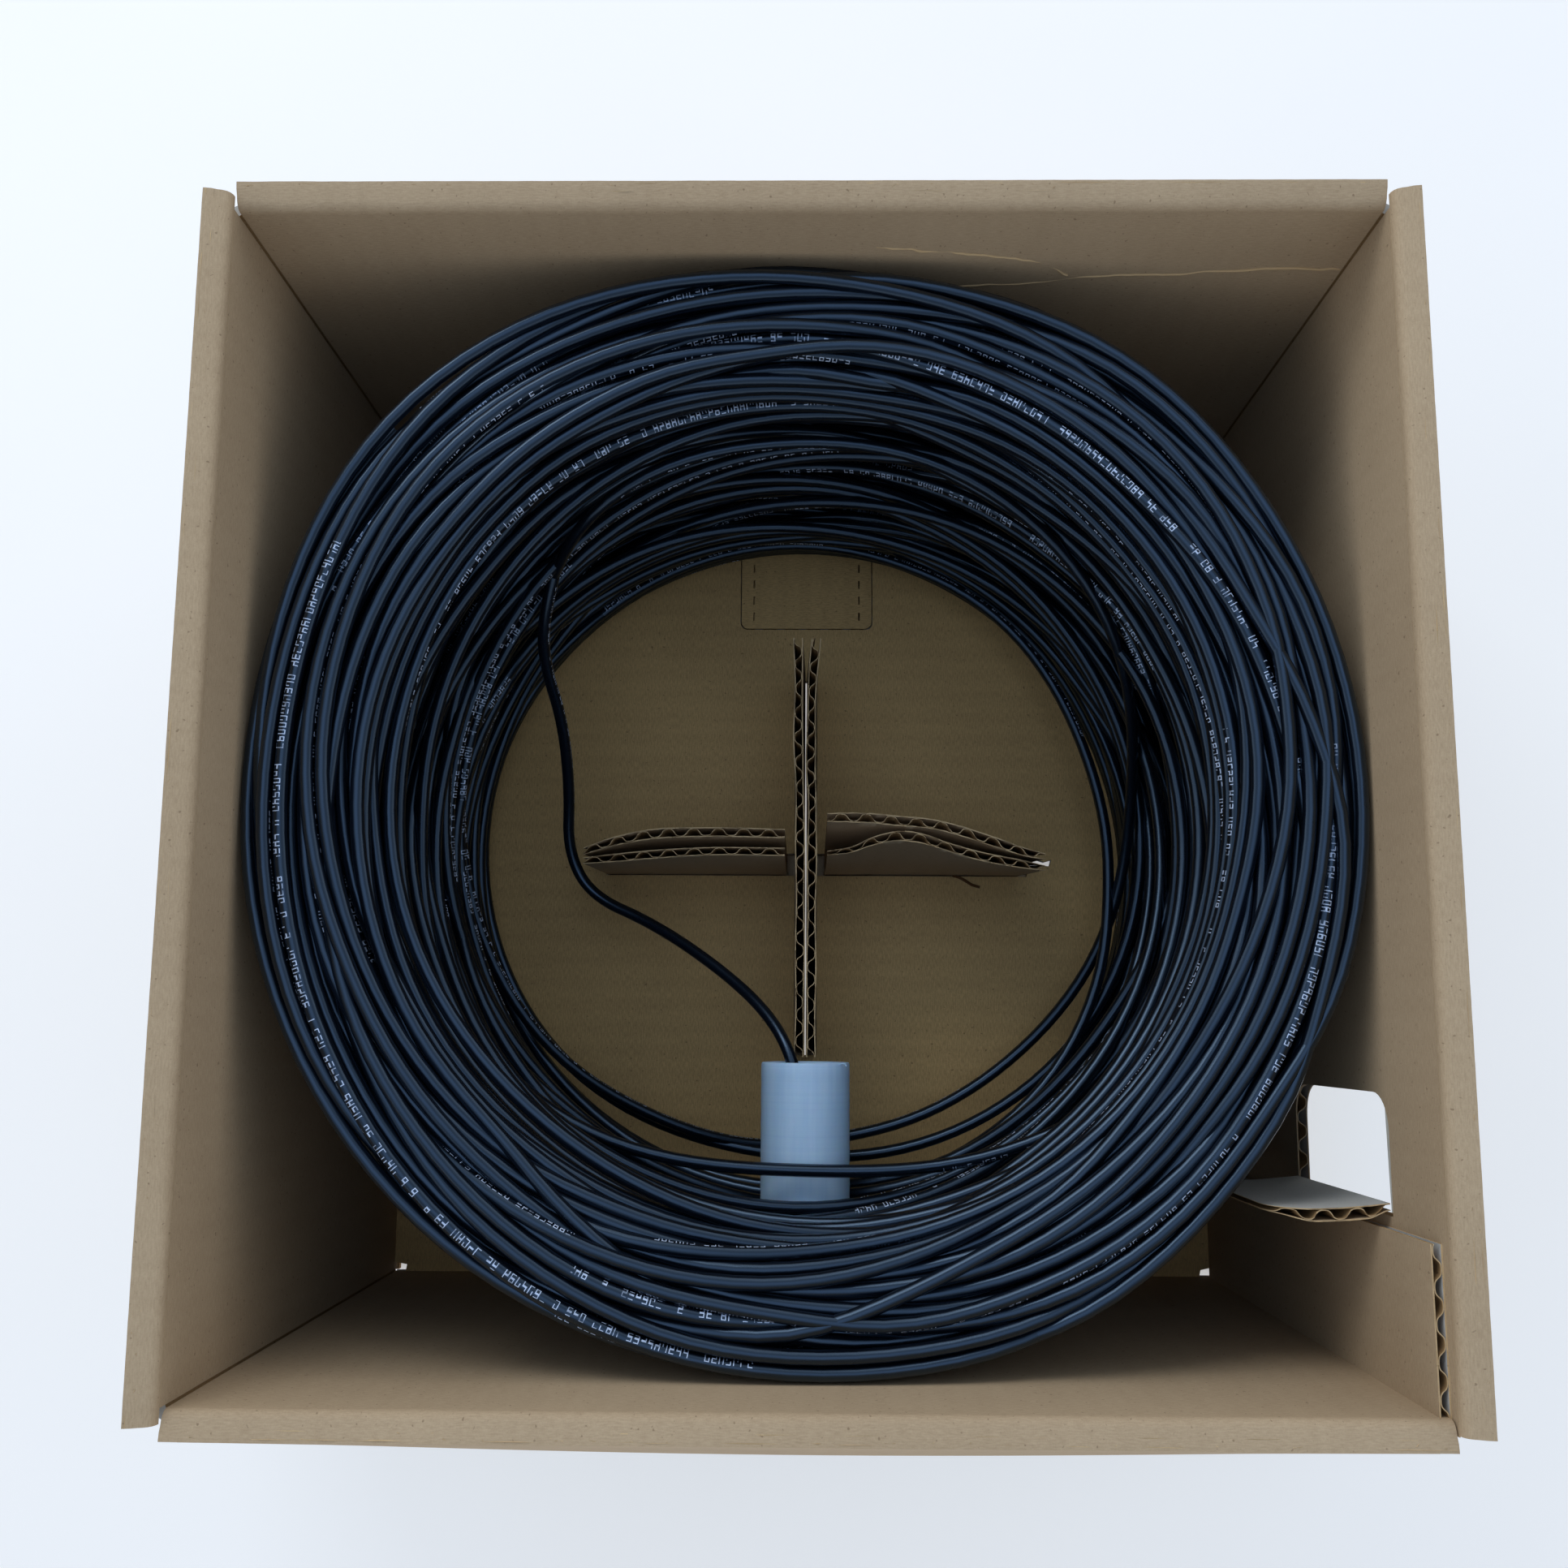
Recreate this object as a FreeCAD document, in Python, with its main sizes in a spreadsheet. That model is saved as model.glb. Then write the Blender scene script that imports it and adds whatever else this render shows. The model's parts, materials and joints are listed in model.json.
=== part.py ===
"""Bulk cable box: a corrugated carton that holds a hollow coil of cable and pays it out through a tube.

The box stands on its closed end. X runs across it, -Y is the wall with the payout tube, +Z points
out of the open end. The origin is the centre of the underside. All sizes are in millimetres.
"""
import FreeCAD, Part
import math
import os
import sys

import Sketcher
from FreeCAD import Placement, Rotation, Vector

doc = FreeCAD.newDocument("CableBox")

# ------------------------------------------------------------------ driving dimensions
SIZES = [
    ("inner_width", 280.0, "clear width of the carton, both ways"),
    ("inner_depth", 185.0, "from the inside of the closed end to the rim"),
    ("board", 3.2, "thickness of the corrugated board"),
    ("seam_gap", 0.25, "half the gap where two flaps or two ribs meet"),
    ("open_angle", 15.0, "angle between an open flap and its wall"),
    ("side_play", 0.4, "play at each side of a minor flap"),
    ("lid_play", 0.15, "play under each layer of closed flaps"),
    ("rib_height", 62.0, "height of the folded ribs above the floor"),
    ("rib_reach", 66.0, "half length of the long rib"),
    ("cross_reach_left", 70.0, "distance of the left cross ribs' outer ends from the centre"),
    ("cross_reach_right", 75.0, "distance of the right cross ribs' outer ends from the centre"),
    ("slot_play", 0.5, "play between a rib and the floor's slot"),
    ("tab_width", 47.0, "width of the perforated tab in the closed end"),
    ("tab_length", 34.0, "length of the perforated tab"),
    ("tab_start", 86.0, "distance of the tab from the centre"),
    ("tab_radius", 2.5, "corner radius of the tab"),
    ("cut_play", 0.4, "width of a punched cut"),
    ("glue_tab_width", 36.5, "width of the glued tab at the carton's side seam"),
    ("glue_tab_thick", 2.6, "thickness of the glued tab, crushed flat"),
    ("hole_low", 96.4, "height of the hand hole's lower end above the ground"),
    ("hole_length", 68.0, "length of the hand hole"),
    ("hole_start", 101.0, "distance of the hand hole's hinge edge from the centre"),
    ("hole_height", 29.0, "height of the hand hole"),
    ("hole_radius", 9.0, "corner radius of the hand hole"),
    ("tube_outer", 26.4, "outside diameter of the payout tube"),
    ("tube_inner", 22.4, "bore of the payout tube"),
    ("tube_height", 81.4, "height of the tube's axis above the ground"),
    ("tube_end", 67.2, "distance of the tube's inner end from the centre"),
    ("flange_width", 38.0, "diameter of the tube's flange"),
    ("flange_thick", 2.5, "thickness of the tube's flange"),
    ("tube_play", 0.4, "play of the tube in its punched hole"),
    ("coil_outer", 278.0, "outside diameter of the wound cable"),
    ("coil_inner", 212.0, "diameter of the coil's core"),
    ("coil_height", 163.0, "height of the wound cable"),
    ("coil_round", 13.0, "radius of the coil's rounded shoulders"),
    ("coil_lift", 0.5, "space under the wound cable"),
    ("payout_gap", 31.0, "diameter of the radial gap for the tube"),
    ("cable_width", 3.7, "outside diameter of the cable"),
]
sheet = doc.addObject("Spreadsheet::Sheet", "Sizes")
for row, (alias, value, meaning) in enumerate(SIZES, start=1):
    sheet.set(f"A{row}", meaning)
    sheet.set(f"B{row}", str(value))
    sheet.setAlias(f"B{row}", alias)
doc.recompute()

# Places that several pieces share, as expressions on the sheet.
HALF = "Sizes.inner_width / 2"
OUTER = "(Sizes.inner_width / 2 + Sizes.board)"
FLOOR = "2 * Sizes.board"
MINOR_RIM = "(2 * Sizes.board + Sizes.inner_depth)"
MAJOR_RIM = "(3 * Sizes.board + Sizes.inner_depth)"
RIB_TOP = "(2 * Sizes.board + Sizes.rib_height)"

subparts = []


def size(alias):
    """The number in one cell of the sheet."""
    return float(sheet.get(alias))


def finished(piece, label):
    """Names a piece and counts it as a sub-part to be written."""
    piece.Label = label
    subparts.append(piece)
    return piece


def block(name, x_span, y_span, z_span):
    """A box between two expressions on each axis."""
    piece = doc.addObject("Part::Box", name)
    for prop, axis, (low, high) in (
        ("Length", "x", x_span),
        ("Width", "y", y_span),
        ("Height", "z", z_span),
    ):
        piece.setExpression(prop, f"({high}) - ({low})")
        piece.setExpression(f"Placement.Base.{axis}", low)
    return piece


def rod(name, radius, length, turn, x, y, z):
    """A cylinder from a point, along the axis that turn gives it."""
    piece = doc.addObject("Part::Cylinder", name)
    piece.Placement = Placement(Vector(), turn)
    piece.setExpression("Radius", radius)
    piece.setExpression("Height", length)
    for axis, text in (("x", x), ("y", y), ("z", z)):
        piece.setExpression(f"Placement.Base.{axis}", text)
    return piece


def fused(name, pieces):
    piece = doc.addObject("Part::MultiFuse", name)
    piece.Shapes = pieces
    piece.Refine = True
    return piece


def cut(name, base, tool):
    piece = doc.addObject("Part::Cut", name)
    piece.Base = base
    piece.Tool = tool
    return piece


ALONG_X = Rotation(Vector(0, 1, 0), 90)
ALONG_Y = Rotation(Vector(1, 0, 0), -90)
ALONG_Z = Rotation()


def rounded_slab(name, u_span, v_span, radius, thick_span, across):
    """A slab with two rounded corners at its high-v side, lying across X or across Z.

    Across Z, u is x and v is y. Across X, u is z and v is y.
    """
    (u_low, u_high), (v_low, v_high) = u_span, v_span
    low, high = thick_span
    inner_u = (f"({u_low}) + {radius}", f"({u_high}) - {radius}")
    short_v = (v_low, f"({v_high}) - {radius}")
    slabs = ((u_span, short_v), (inner_u, v_span))
    pieces = []
    for index, (u_part, v_part) in enumerate(slabs):
        spans = (u_part, v_part, thick_span) if across == "z" else (thick_span, v_part, u_part)
        pieces.append(block(f"{name}_slab_{index}", *spans))
    for index, u_centre in enumerate(inner_u):
        v_centre = short_v[1]
        if across == "z":
            place, turn = (u_centre, v_centre, low), ALONG_Z
        else:
            place, turn = (low, v_centre, u_centre), ALONG_X
        pieces.append(rod(f"{name}_corner_{index}", radius, f"({high}) - ({low})", turn, *place))
    return fused(name, pieces)


# ------------------------------------------------------------------ carton walls
def side_walls():
    """The left and right walls, which stand on the outer flaps and reach the major rim."""
    left = block("LeftWall", (f"-{OUTER}", f"-{HALF}"), (f"-{OUTER}", OUTER), ("Sizes.board", MAJOR_RIM))
    finished(left, "carton_wall_left")
    right = block("RightWallBoard", (HALF, OUTER), (f"-{OUTER}", OUTER), ("Sizes.board", MAJOR_RIM))
    hole = rounded_slab(
        "HandHole",
        ("Sizes.hole_low", "Sizes.hole_low + Sizes.hole_length"),
        ("-Sizes.hole_start", "-Sizes.hole_start + Sizes.hole_height"),
        "Sizes.hole_radius",
        (f"{HALF} - Sizes.board", f"{OUTER} + Sizes.board"),
        "x",
    )
    finished(cut("RightWall", right, hole), "carton_wall_right")


def end_walls():
    """The front and back walls, between the side walls. The front one has the payout hole."""
    across = (f"-{HALF}", HALF)
    back = block("BackWall", across, (HALF, OUTER), (FLOOR, MINOR_RIM))
    finished(back, "carton_wall_back")
    board = block("FrontWallBoard", across, (f"-{OUTER}", f"-{HALF}"), (FLOOR, MINOR_RIM))
    hole = rod(
        "PayoutHole",
        "Sizes.tube_outer / 2 + Sizes.tube_play",
        "3 * Sizes.board",
        ALONG_Y,
        "0",
        f"-{OUTER} - Sizes.board",
        "Sizes.tube_height",
    )
    finished(cut("FrontWall", board, hole), "carton_wall_front")


def glue_tab():
    """The tab that continues the front wall and is glued to the inside of the right wall."""
    tab = block(
        "GlueTab",
        (f"{HALF} - Sizes.glue_tab_thick", HALF),
        (f"-{HALF}", f"-{HALF} + Sizes.glue_tab_width"),
        (FLOOR, MINOR_RIM),
    )
    finished(tab, "glue_joint_tab")


# ------------------------------------------------------------------ closed end
def outer_base_flaps():
    """The two flaps that the box stands on, which meet at x = 0."""
    for label, name, low, high in (
        ("base_outer_flap_left", "LeftBaseFlap", f"-{OUTER}", "-Sizes.seam_gap"),
        ("base_outer_flap_right", "RightBaseFlap", "Sizes.seam_gap", OUTER),
    ):
        flap = block(name, (low, high), (f"-{OUTER}", OUTER), ("0", "Sizes.board"))
        finished(flap, label)


def inner_base_panel():
    """The sheet that makes the floor. The ribs come up through its cross-shaped slot."""
    board = block("PanelBoard", (f"-{HALF}", HALF), (f"-{OUTER}", OUTER), ("Sizes.board", FLOOR))
    half_slot = "Sizes.board + Sizes.seam_gap + Sizes.slot_play"
    across = (f"-({half_slot})", half_slot)
    reach = "Sizes.rib_reach + Sizes.slot_play"
    long_slot = block("LongSlot", across, (f"-({reach})", reach), ("0", RIB_TOP))
    ends = ("-(Sizes.cross_reach_left + Sizes.slot_play)", "Sizes.cross_reach_right + Sizes.slot_play")
    cross_slot = block("CrossSlot", ends, across, ("0", RIB_TOP))
    tab_hole = knockout(
        "TabHole", "Sizes.tab_width / 2 + Sizes.cut_play", "Sizes.cut_play", ("0", "3 * Sizes.board")
    )
    openings = fused("PanelOpenings", [long_slot, cross_slot, tab_hole])
    finished(cut("BasePanel", board, openings), "base_inner_panel")


def knockout(name, half_width, margin, thick_span):
    """The outline of the perforated tab, grown by a margin."""
    span = (f"Sizes.tab_start - ({margin})", f"Sizes.tab_start + Sizes.tab_length + {margin}")
    return rounded_slab(name, (f"-({half_width})", half_width), span, "Sizes.tab_radius", thick_span, "z")


def knockout_tab():
    """The perforated tab that is still in place in the floor, near the back wall."""
    tab = knockout("KnockoutTab", "Sizes.tab_width / 2", "0", ("Sizes.board", FLOOR))
    finished(tab, "knockout_tab")


def ribs():
    """The outer flaps' folded ends, which stand in the coil's core as an upright cross."""
    near, far = "Sizes.seam_gap", "Sizes.seam_gap + Sizes.board"
    for side, sign in (("left", "-"), ("right", "")):
        span = (f"{sign}({near})", f"{sign}({far})")
        rib = block(
            f"LongRib{side.title()}",
            span if not sign else span[::-1],
            ("-Sizes.rib_reach", "Sizes.rib_reach"),
            ("Sizes.board", RIB_TOP),
        )
        finished(rib, f"rib_long_{side}")
    start = "Sizes.seam_gap + 2 * Sizes.board"
    for wall, wall_sign in (("front", "-"), ("back", "")):
        for side, sign in (("left", "-"), ("right", "")):
            x_span = (f"{sign}({start})", f"{sign}(Sizes.cross_reach_{side})")
            y_span = (f"{wall_sign}({near})", f"{wall_sign}({far})")
            rib = block(
                f"CrossRib{wall.title()}{side.title()}",
                x_span if not sign else x_span[::-1],
                y_span if not wall_sign else y_span[::-1],
                ("Sizes.board", RIB_TOP),
            )
            finished(rib, f"rib_{wall}_{side}")


# ------------------------------------------------------------------ flaps at the open end
def rectangle_sketch(body, name, plane, corner, opposite):
    """A rectangle in one of the body's origin planes, between two corners given as expressions.

    The corner's two expressions give distances to the left of and below the origin.
    """
    sketch = body.newObject("Sketcher::SketchObject", name)
    face = next(f for f in body.Origin.OriginFeatures if f.Role == plane)
    sketch.AttachmentSupport = [(face, "")]
    sketch.MapMode = "FlatFace"
    points = [Vector(-1, -1, 0), Vector(1, -1, 0), Vector(1, 1, 0), Vector(-1, 1, 0)]
    for index in range(4):
        sketch.addGeometry(Part.LineSegment(points[index], points[(index + 1) % 4]), False)
    for index in range(4):
        sketch.addConstraint(Sketcher.Constraint("Coincident", index, 2, (index + 1) % 4, 1))
    for index, kind in enumerate(("Horizontal", "Vertical", "Horizontal", "Vertical")):
        sketch.addConstraint(Sketcher.Constraint(kind, index))
    places = (("DistanceX", 0, corner[0]), ("DistanceY", 0, corner[1]))
    for kind, line, text in places:
        number = sketch.addConstraint(Sketcher.Constraint(kind, line, 1, -1, 1, 1.0))
        sketch.setExpression(f"Constraints[{number}]", text)
    places = (("DistanceX", 2, opposite[0]), ("DistanceY", 2, opposite[1]))
    for kind, line, text in places:
        number = sketch.addConstraint(Sketcher.Constraint(kind, -1, 1, line, 1, 1.0))
        sketch.setExpression(f"Constraints[{number}]", text)
    return sketch


def top_flap(side, turn, rim, half_width):
    """One flap at the rim. Its hinge line is the wall's outer edge, and it hangs outside the wall."""
    body = doc.addObject("PartDesign::Body", f"TopFlap{side.title()}")
    outline = rectangle_sketch(
        body,
        f"TopFlapOutline{side.title()}",
        "XY_Plane",
        (half_width, "0.01"),
        (half_width, f"{OUTER} - Sizes.seam_gap"),
    )
    pad = body.newObject("PartDesign::Pad", f"TopFlapBoard{side.title()}")
    pad.Profile = outline
    pad.setExpression("Length", "Sizes.board")
    pad.Reversed = True
    outer = size("inner_width") / 2 + size("board")
    about_z = Rotation(Vector(0, 0, 1), turn)
    hinge = about_z.multVec(Vector(0, -outer, rim))
    opened = Rotation(Vector(1, 0, 0), 270 - size("open_angle"))
    body.Placement = Placement(hinge, about_z.multiply(opened))
    finished(body, f"top_flap_{side}")


def top_flaps():
    minor_rim = 3 * size("board") + size("inner_depth") + size("lid_play")
    major_rim = minor_rim + size("board") + size("lid_play")
    minor_half = f"{HALF} - Sizes.side_play"
    major_half = f"{OUTER} - Sizes.side_play"
    for side, turn, rim, half_width in (
        ("front", 0, minor_rim, minor_half),
        ("right", 90, major_rim, major_half),
        ("back", 180, minor_rim, minor_half),
        ("left", 270, major_rim, major_half),
    ):
        top_flap(side, turn, rim, half_width)


def hand_hole_flap():
    """The flap punched out of the hand hole, folded into the box about the hole's front edge."""
    play = "Sizes.cut_play"
    flap = rounded_slab(
        "HandHoleFlap",
        (f"{play}", f"Sizes.hole_length - {play}"),
        (play, f"Sizes.hole_height - {play}"),
        "Sizes.hole_radius",
        ("0.02", "Sizes.board"),
        "x",
    )
    hinge = Vector(size("inner_width") / 2, -size("hole_start"), size("hole_low"))
    flap.Placement = Placement(hinge, Rotation(Vector(0, 0, 1), 90))
    finished(flap, "hand_hole_flap")


# ------------------------------------------------------------------ cable and tube
def payout_tube():
    """The tube that guides the cable out through the front wall, with a flange outside."""
    outer_face = size("inner_width") / 2 + size("board")
    length = outer_face - size("tube_end")
    tube_radius, bore = size("tube_outer") / 2, size("tube_inner") / 2
    flange, thick = size("flange_width") / 2, size("flange_thick")
    lip = (tube_radius - bore) / 4
    profile = [
        Vector(bore, 0, -thick),
        Vector(flange - lip, 0, -thick),
        Vector(flange, 0, -thick + lip),
        Vector(flange, 0, -0.05),
        Vector(tube_radius, 0, -0.05),
        Vector(tube_radius, 0, length - lip),
        Vector(tube_radius - lip, 0, length),
        Vector(bore, 0, length),
    ]
    face = Part.Face(Part.makePolygon(profile + profile[:1]))
    tube = doc.addObject("Part::Feature", "PayoutTube")
    tube.Shape = face.revolve(Vector(), Vector(0, 0, 1), 360)
    tube.Placement = Placement(Vector(0, -outer_face, size("tube_height")), ALONG_Y)
    finished(tube, "payout_tube")


def winding():
    """The outer shape of the wound cable: a ring with rounded shoulders and the payout gap."""
    inner, outer = size("coil_inner") / 2, size("coil_outer") / 2
    low = 2 * size("board") + size("coil_lift")
    high = low + size("coil_height")
    bend = size("coil_round")
    slant = bend * math.sqrt(0.5)
    inner_turn, outer_turn = Vector(inner + bend, 0, high - bend), Vector(outer - bend, 0, high - bend)
    corners = [Vector(inner, 0, low), Vector(outer, 0, low)]
    top = high - bend, high
    edges = [
        Part.LineSegment(corners[0], corners[1]),
        Part.LineSegment(corners[1], Vector(outer, 0, top[0])),
        Part.Arc(Vector(outer, 0, top[0]), outer_turn + Vector(slant, 0, slant), Vector(outer - bend, 0, top[1])),
        Part.LineSegment(Vector(outer - bend, 0, top[1]), Vector(inner + bend, 0, top[1])),
        Part.Arc(Vector(inner + bend, 0, top[1]), inner_turn + Vector(-slant, 0, slant), Vector(inner, 0, top[0])),
        Part.LineSegment(Vector(inner, 0, top[0]), corners[0]),
    ]
    section = Part.Face(Part.Wire([edge.toShape() for edge in edges]))
    ring = section.revolve(Vector(), Vector(0, 0, 1), 360)
    wound = doc.addObject("Part::Feature", "WoundCable")
    wound.Shape = ring
    gap = rod("PayoutGap", "Sizes.payout_gap / 2", "Sizes.inner_width / 2", ALONG_Y, "0", f"-{OUTER}",
              "Sizes.tube_height")
    finished(cut("CableWinding", wound, gap), "cable_winding")


# The free end of the cable: it leaves the inside of the coil, sags past the cross ribs, rises to the
# payout tube, lies along the bottom of the bore and stands out of the flange.
LEAD_ROUTE = [
    (-75.5, 75.5, 103.0),
    (-79.5, 65.0, 96.0),
    (-81.0, 54.0, 84.0),
    (-77.5, 39.0, 67.0),
    (-77.5, 20.0, 49.5),
    (-79.0, 0.5, 41.0),
    (-71.5, -14.0, 37.5),
    (-50.0, -23.5, 42.0),
    (-28.0, -38.0, 54.0),
    (-11.5, -52.5, 67.5),
    (-3.2, -67.2, 76.5),
    (-0.5, -88.0, 77.0),
    (0.8, -111.0, 74.6),
    (-0.3, -137.0, 74.2),
    (0.6, -162.0, 73.8),
]


def rounded_path(points):
    """Straight runs joined by tangent arcs, each as large as its two runs allow."""
    edges = []
    start = points[0]
    for before, corner, after in zip(points, points[1:], points[2:]):
        come, leave = (before - corner), (after - corner)
        shorter = min(come.Length, leave.Length)
        turn = math.pi - come.getAngle(leave)
        reach = 0.45 * shorter
        radius = reach / math.tan(turn / 2)
        come.normalize()
        leave.normalize()
        first, last = corner + come * reach, corner + leave * reach
        middle = come + leave
        middle.normalize()
        centre = corner + middle * math.hypot(reach, radius)
        edges.append(Part.LineSegment(start, first).toShape())
        edges.append(Part.Arc(first, centre - middle * radius, last).toShape())
        start = last
        print(f"lead bend at {corner.x:.0f}, {corner.y:.0f}, {corner.z:.0f}: radius {radius:.0f} mm")
    edges.append(Part.LineSegment(start, points[-1]).toShape())
    return Part.Wire(edges)


def cable_lead():
    points = [Vector(*place) for place in LEAD_ROUTE]
    path = rounded_path(points)
    radius = size("cable_width") / 2
    end = Part.Wire([Part.makeCircle(radius, points[0], points[1] - points[0])])
    lead = doc.addObject("Part::Feature", "CableLead")
    lead.Shape = path.makePipeShell([end], True, False)
    expected = math.pi * radius * radius * path.Length
    print(f"lead length {path.Length:.1f} mm, volume {lead.Shape.Volume:.1f}, expected {expected:.1f} mm3")
    if abs(lead.Shape.Volume - expected) > 0.01 * expected:
        sys.exit("the lead's volume is not its section times its length")
    finished(lead, "cable_lead")


side_walls()
end_walls()
glue_tab()
outer_base_flaps()
inner_base_panel()
knockout_tab()
ribs()
top_flaps()
hand_hole_flap()
payout_tube()
winding()
cable_lead()
doc.recompute()

# ------------------------------------------------------------------ check and write
for item in doc.Objects:
    if "Invalid" in item.State or "Error" in item.State:
        sys.exit(f"{item.Name} did not build: {item.State}")
for piece in subparts:
    if piece.Shape.isNull() or not piece.Shape.isValid() or not piece.Shape.Solids:
        sys.exit(f"{piece.Label} has no valid solid")
os.makedirs("parts", exist_ok=True)
for piece in subparts:
    piece.Shape.exportStep(os.path.join("parts", f"{piece.Label}.step"))
print(f"{len(subparts)} sub-parts written")
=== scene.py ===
"""Looks of the bulk cable box: corrugated carton, cross-wound coil, cable lead and payout tube."""

import json
import math

import bmesh
import bpy
import numpy as np
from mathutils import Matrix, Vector


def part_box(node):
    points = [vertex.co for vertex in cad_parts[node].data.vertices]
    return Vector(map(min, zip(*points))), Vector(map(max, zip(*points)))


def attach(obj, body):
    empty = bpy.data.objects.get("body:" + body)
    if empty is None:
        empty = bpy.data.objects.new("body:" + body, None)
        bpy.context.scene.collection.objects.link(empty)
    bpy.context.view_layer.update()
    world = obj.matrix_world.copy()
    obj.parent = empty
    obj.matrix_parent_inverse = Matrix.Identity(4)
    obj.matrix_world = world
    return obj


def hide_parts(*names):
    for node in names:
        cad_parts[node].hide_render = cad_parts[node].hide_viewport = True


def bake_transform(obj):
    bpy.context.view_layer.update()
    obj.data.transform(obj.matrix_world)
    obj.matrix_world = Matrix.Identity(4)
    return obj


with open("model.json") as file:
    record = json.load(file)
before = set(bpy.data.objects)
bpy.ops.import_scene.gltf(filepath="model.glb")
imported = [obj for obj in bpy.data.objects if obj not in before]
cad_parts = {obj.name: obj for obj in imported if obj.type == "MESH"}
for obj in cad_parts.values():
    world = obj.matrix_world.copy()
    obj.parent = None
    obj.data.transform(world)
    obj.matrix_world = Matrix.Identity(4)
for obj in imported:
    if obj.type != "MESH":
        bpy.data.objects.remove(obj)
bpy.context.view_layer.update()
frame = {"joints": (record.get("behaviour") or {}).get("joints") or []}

# ---- sizes, in metres
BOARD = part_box("base_outer_flap_left")[1].z
FLOOR_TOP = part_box("base_inner_panel")[1].z
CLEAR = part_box("carton_wall_right")[0].x
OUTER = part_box("carton_wall_right")[1].x
MINOR_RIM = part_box("carton_wall_front")[1].z
MAJOR_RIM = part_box("carton_wall_left")[1].z
RIB_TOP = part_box("rib_long_left")[1].z
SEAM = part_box("base_outer_flap_right")[0].x
OPEN_ANGLE = math.radians(15)
SIDES = ("front", "right", "back", "left")

FLUTE_PITCH = 0.0079
LINER = 0.00034
MEDIUM = 0.00023
CORNER_PLAY = 0.0005
CORNER_RADIUS = 0.009

CABLE_RADIUS = 0.00185
TUBE_LOW, TUBE_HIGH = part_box("payout_tube")
TUBE_AXIS_Z = (TUBE_LOW.z + TUBE_HIGH.z) / 2
TUBE_RADIUS = 0.0132
BORE_RADIUS = 0.0112


def linked(obj):
    bpy.context.scene.collection.objects.link(obj)
    return obj


# ---- camera
def add_camera():
    """Above the open end, a little in front of the middle and tipped towards the back wall."""
    data = bpy.data.cameras.new("camera")
    data.sensor_width = 36.0
    data.lens = 34.23
    data.shift_y = 0.0176
    data.clip_start = 0.01
    eye = linked(bpy.data.objects.new("camera", data))
    eye.location = (-0.0008, -0.0572, FLOOR_TOP + 0.5251)
    eye.rotation_euler = (0.1442, 0.0125, 0.0054)
    bpy.context.scene.camera = eye


# ---- node helpers
class Nodes:
    """A short way to write the node tree of a material or a world."""

    def __init__(self, owner):
        owner.use_nodes = True
        self.owner = owner
        self.tree = owner.node_tree

    def feed(self, node, inputs):
        """Links or sets a node's inputs."""
        for key, value in inputs.items():
            if isinstance(value, bpy.types.NodeSocket):
                self.tree.links.new(value, node.inputs[key])
            else:
                node.inputs[key].default_value = value

    def add(self, kind, inputs=None, **settings):
        node = self.tree.nodes.new("ShaderNode" + kind)
        for key, value in settings.items():
            setattr(node, key, value)
        self.feed(node, inputs or {})
        return node

    def math(self, operation, a, b=0.0):
        return self.add("Math", {0: a, 1: b}, operation=operation).outputs[0]

    def times(self, a, b):
        return self.math("MULTIPLY", a, b)

    def plus(self, a, b):
        return self.math("ADD", a, b)

    def above(self, a, b):
        return self.math("GREATER_THAN", a, b)

    def below(self, a, b):
        return self.math("LESS_THAN", a, b)

    def mapped(self, value, low, high, to_low=0.0, to_high=1.0, smooth=False):
        kind = "SMOOTHSTEP" if smooth else "LINEAR"
        inputs = {0: value, 1: low, 2: high, 3: to_low, 4: to_high}
        return self.add("MapRange", inputs, interpolation_type=kind, clamp=True).outputs[0]

    def mix(self, share, a, b):
        return self.add("Mix", {0: share, 6: a, 7: b}, data_type="RGBA").outputs[2]

    def noise(self, vector, scale, detail=3.0, roughness=0.5):
        inputs = {"Vector": vector, "Scale": scale, "Detail": detail, "Roughness": roughness}
        return self.add("TexNoise", inputs).outputs[0]

    def stretched(self, vector, x, y, z=1.0):
        return self.add("Mapping", {"Vector": vector, "Scale": (x, y, z)}).outputs[0]

    def shade(self, colour, roughness, bump=None, strength=0.1, distance=0.0002, **plain):
        """Sets up the material's shader. plain has its other sockets, with _ for a space."""
        inputs = {"Base Color": colour, "Roughness": roughness}
        if bump is not None:
            height = {"Height": bump, "Strength": strength, "Distance": distance}
            inputs["Normal"] = self.add("Bump", height).outputs[0]
        inputs.update({key.replace("_", " "): value for key, value in plain.items()})
        self.feed(self.tree.nodes["Principled BSDF"], inputs)
        return self.owner


def material_nodes(name):
    return Nodes(bpy.data.materials.new(name))


def rgb(red, green, blue):
    """A colour given in display values from 0 to 255, as the linear colour that a shader takes."""
    linear = [((v / 255 + 0.055) / 1.055) ** 2.4 if v > 10 else v / 255 / 12.92 for v in (red, green, blue)]
    return (*linear, 1.0)


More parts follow.
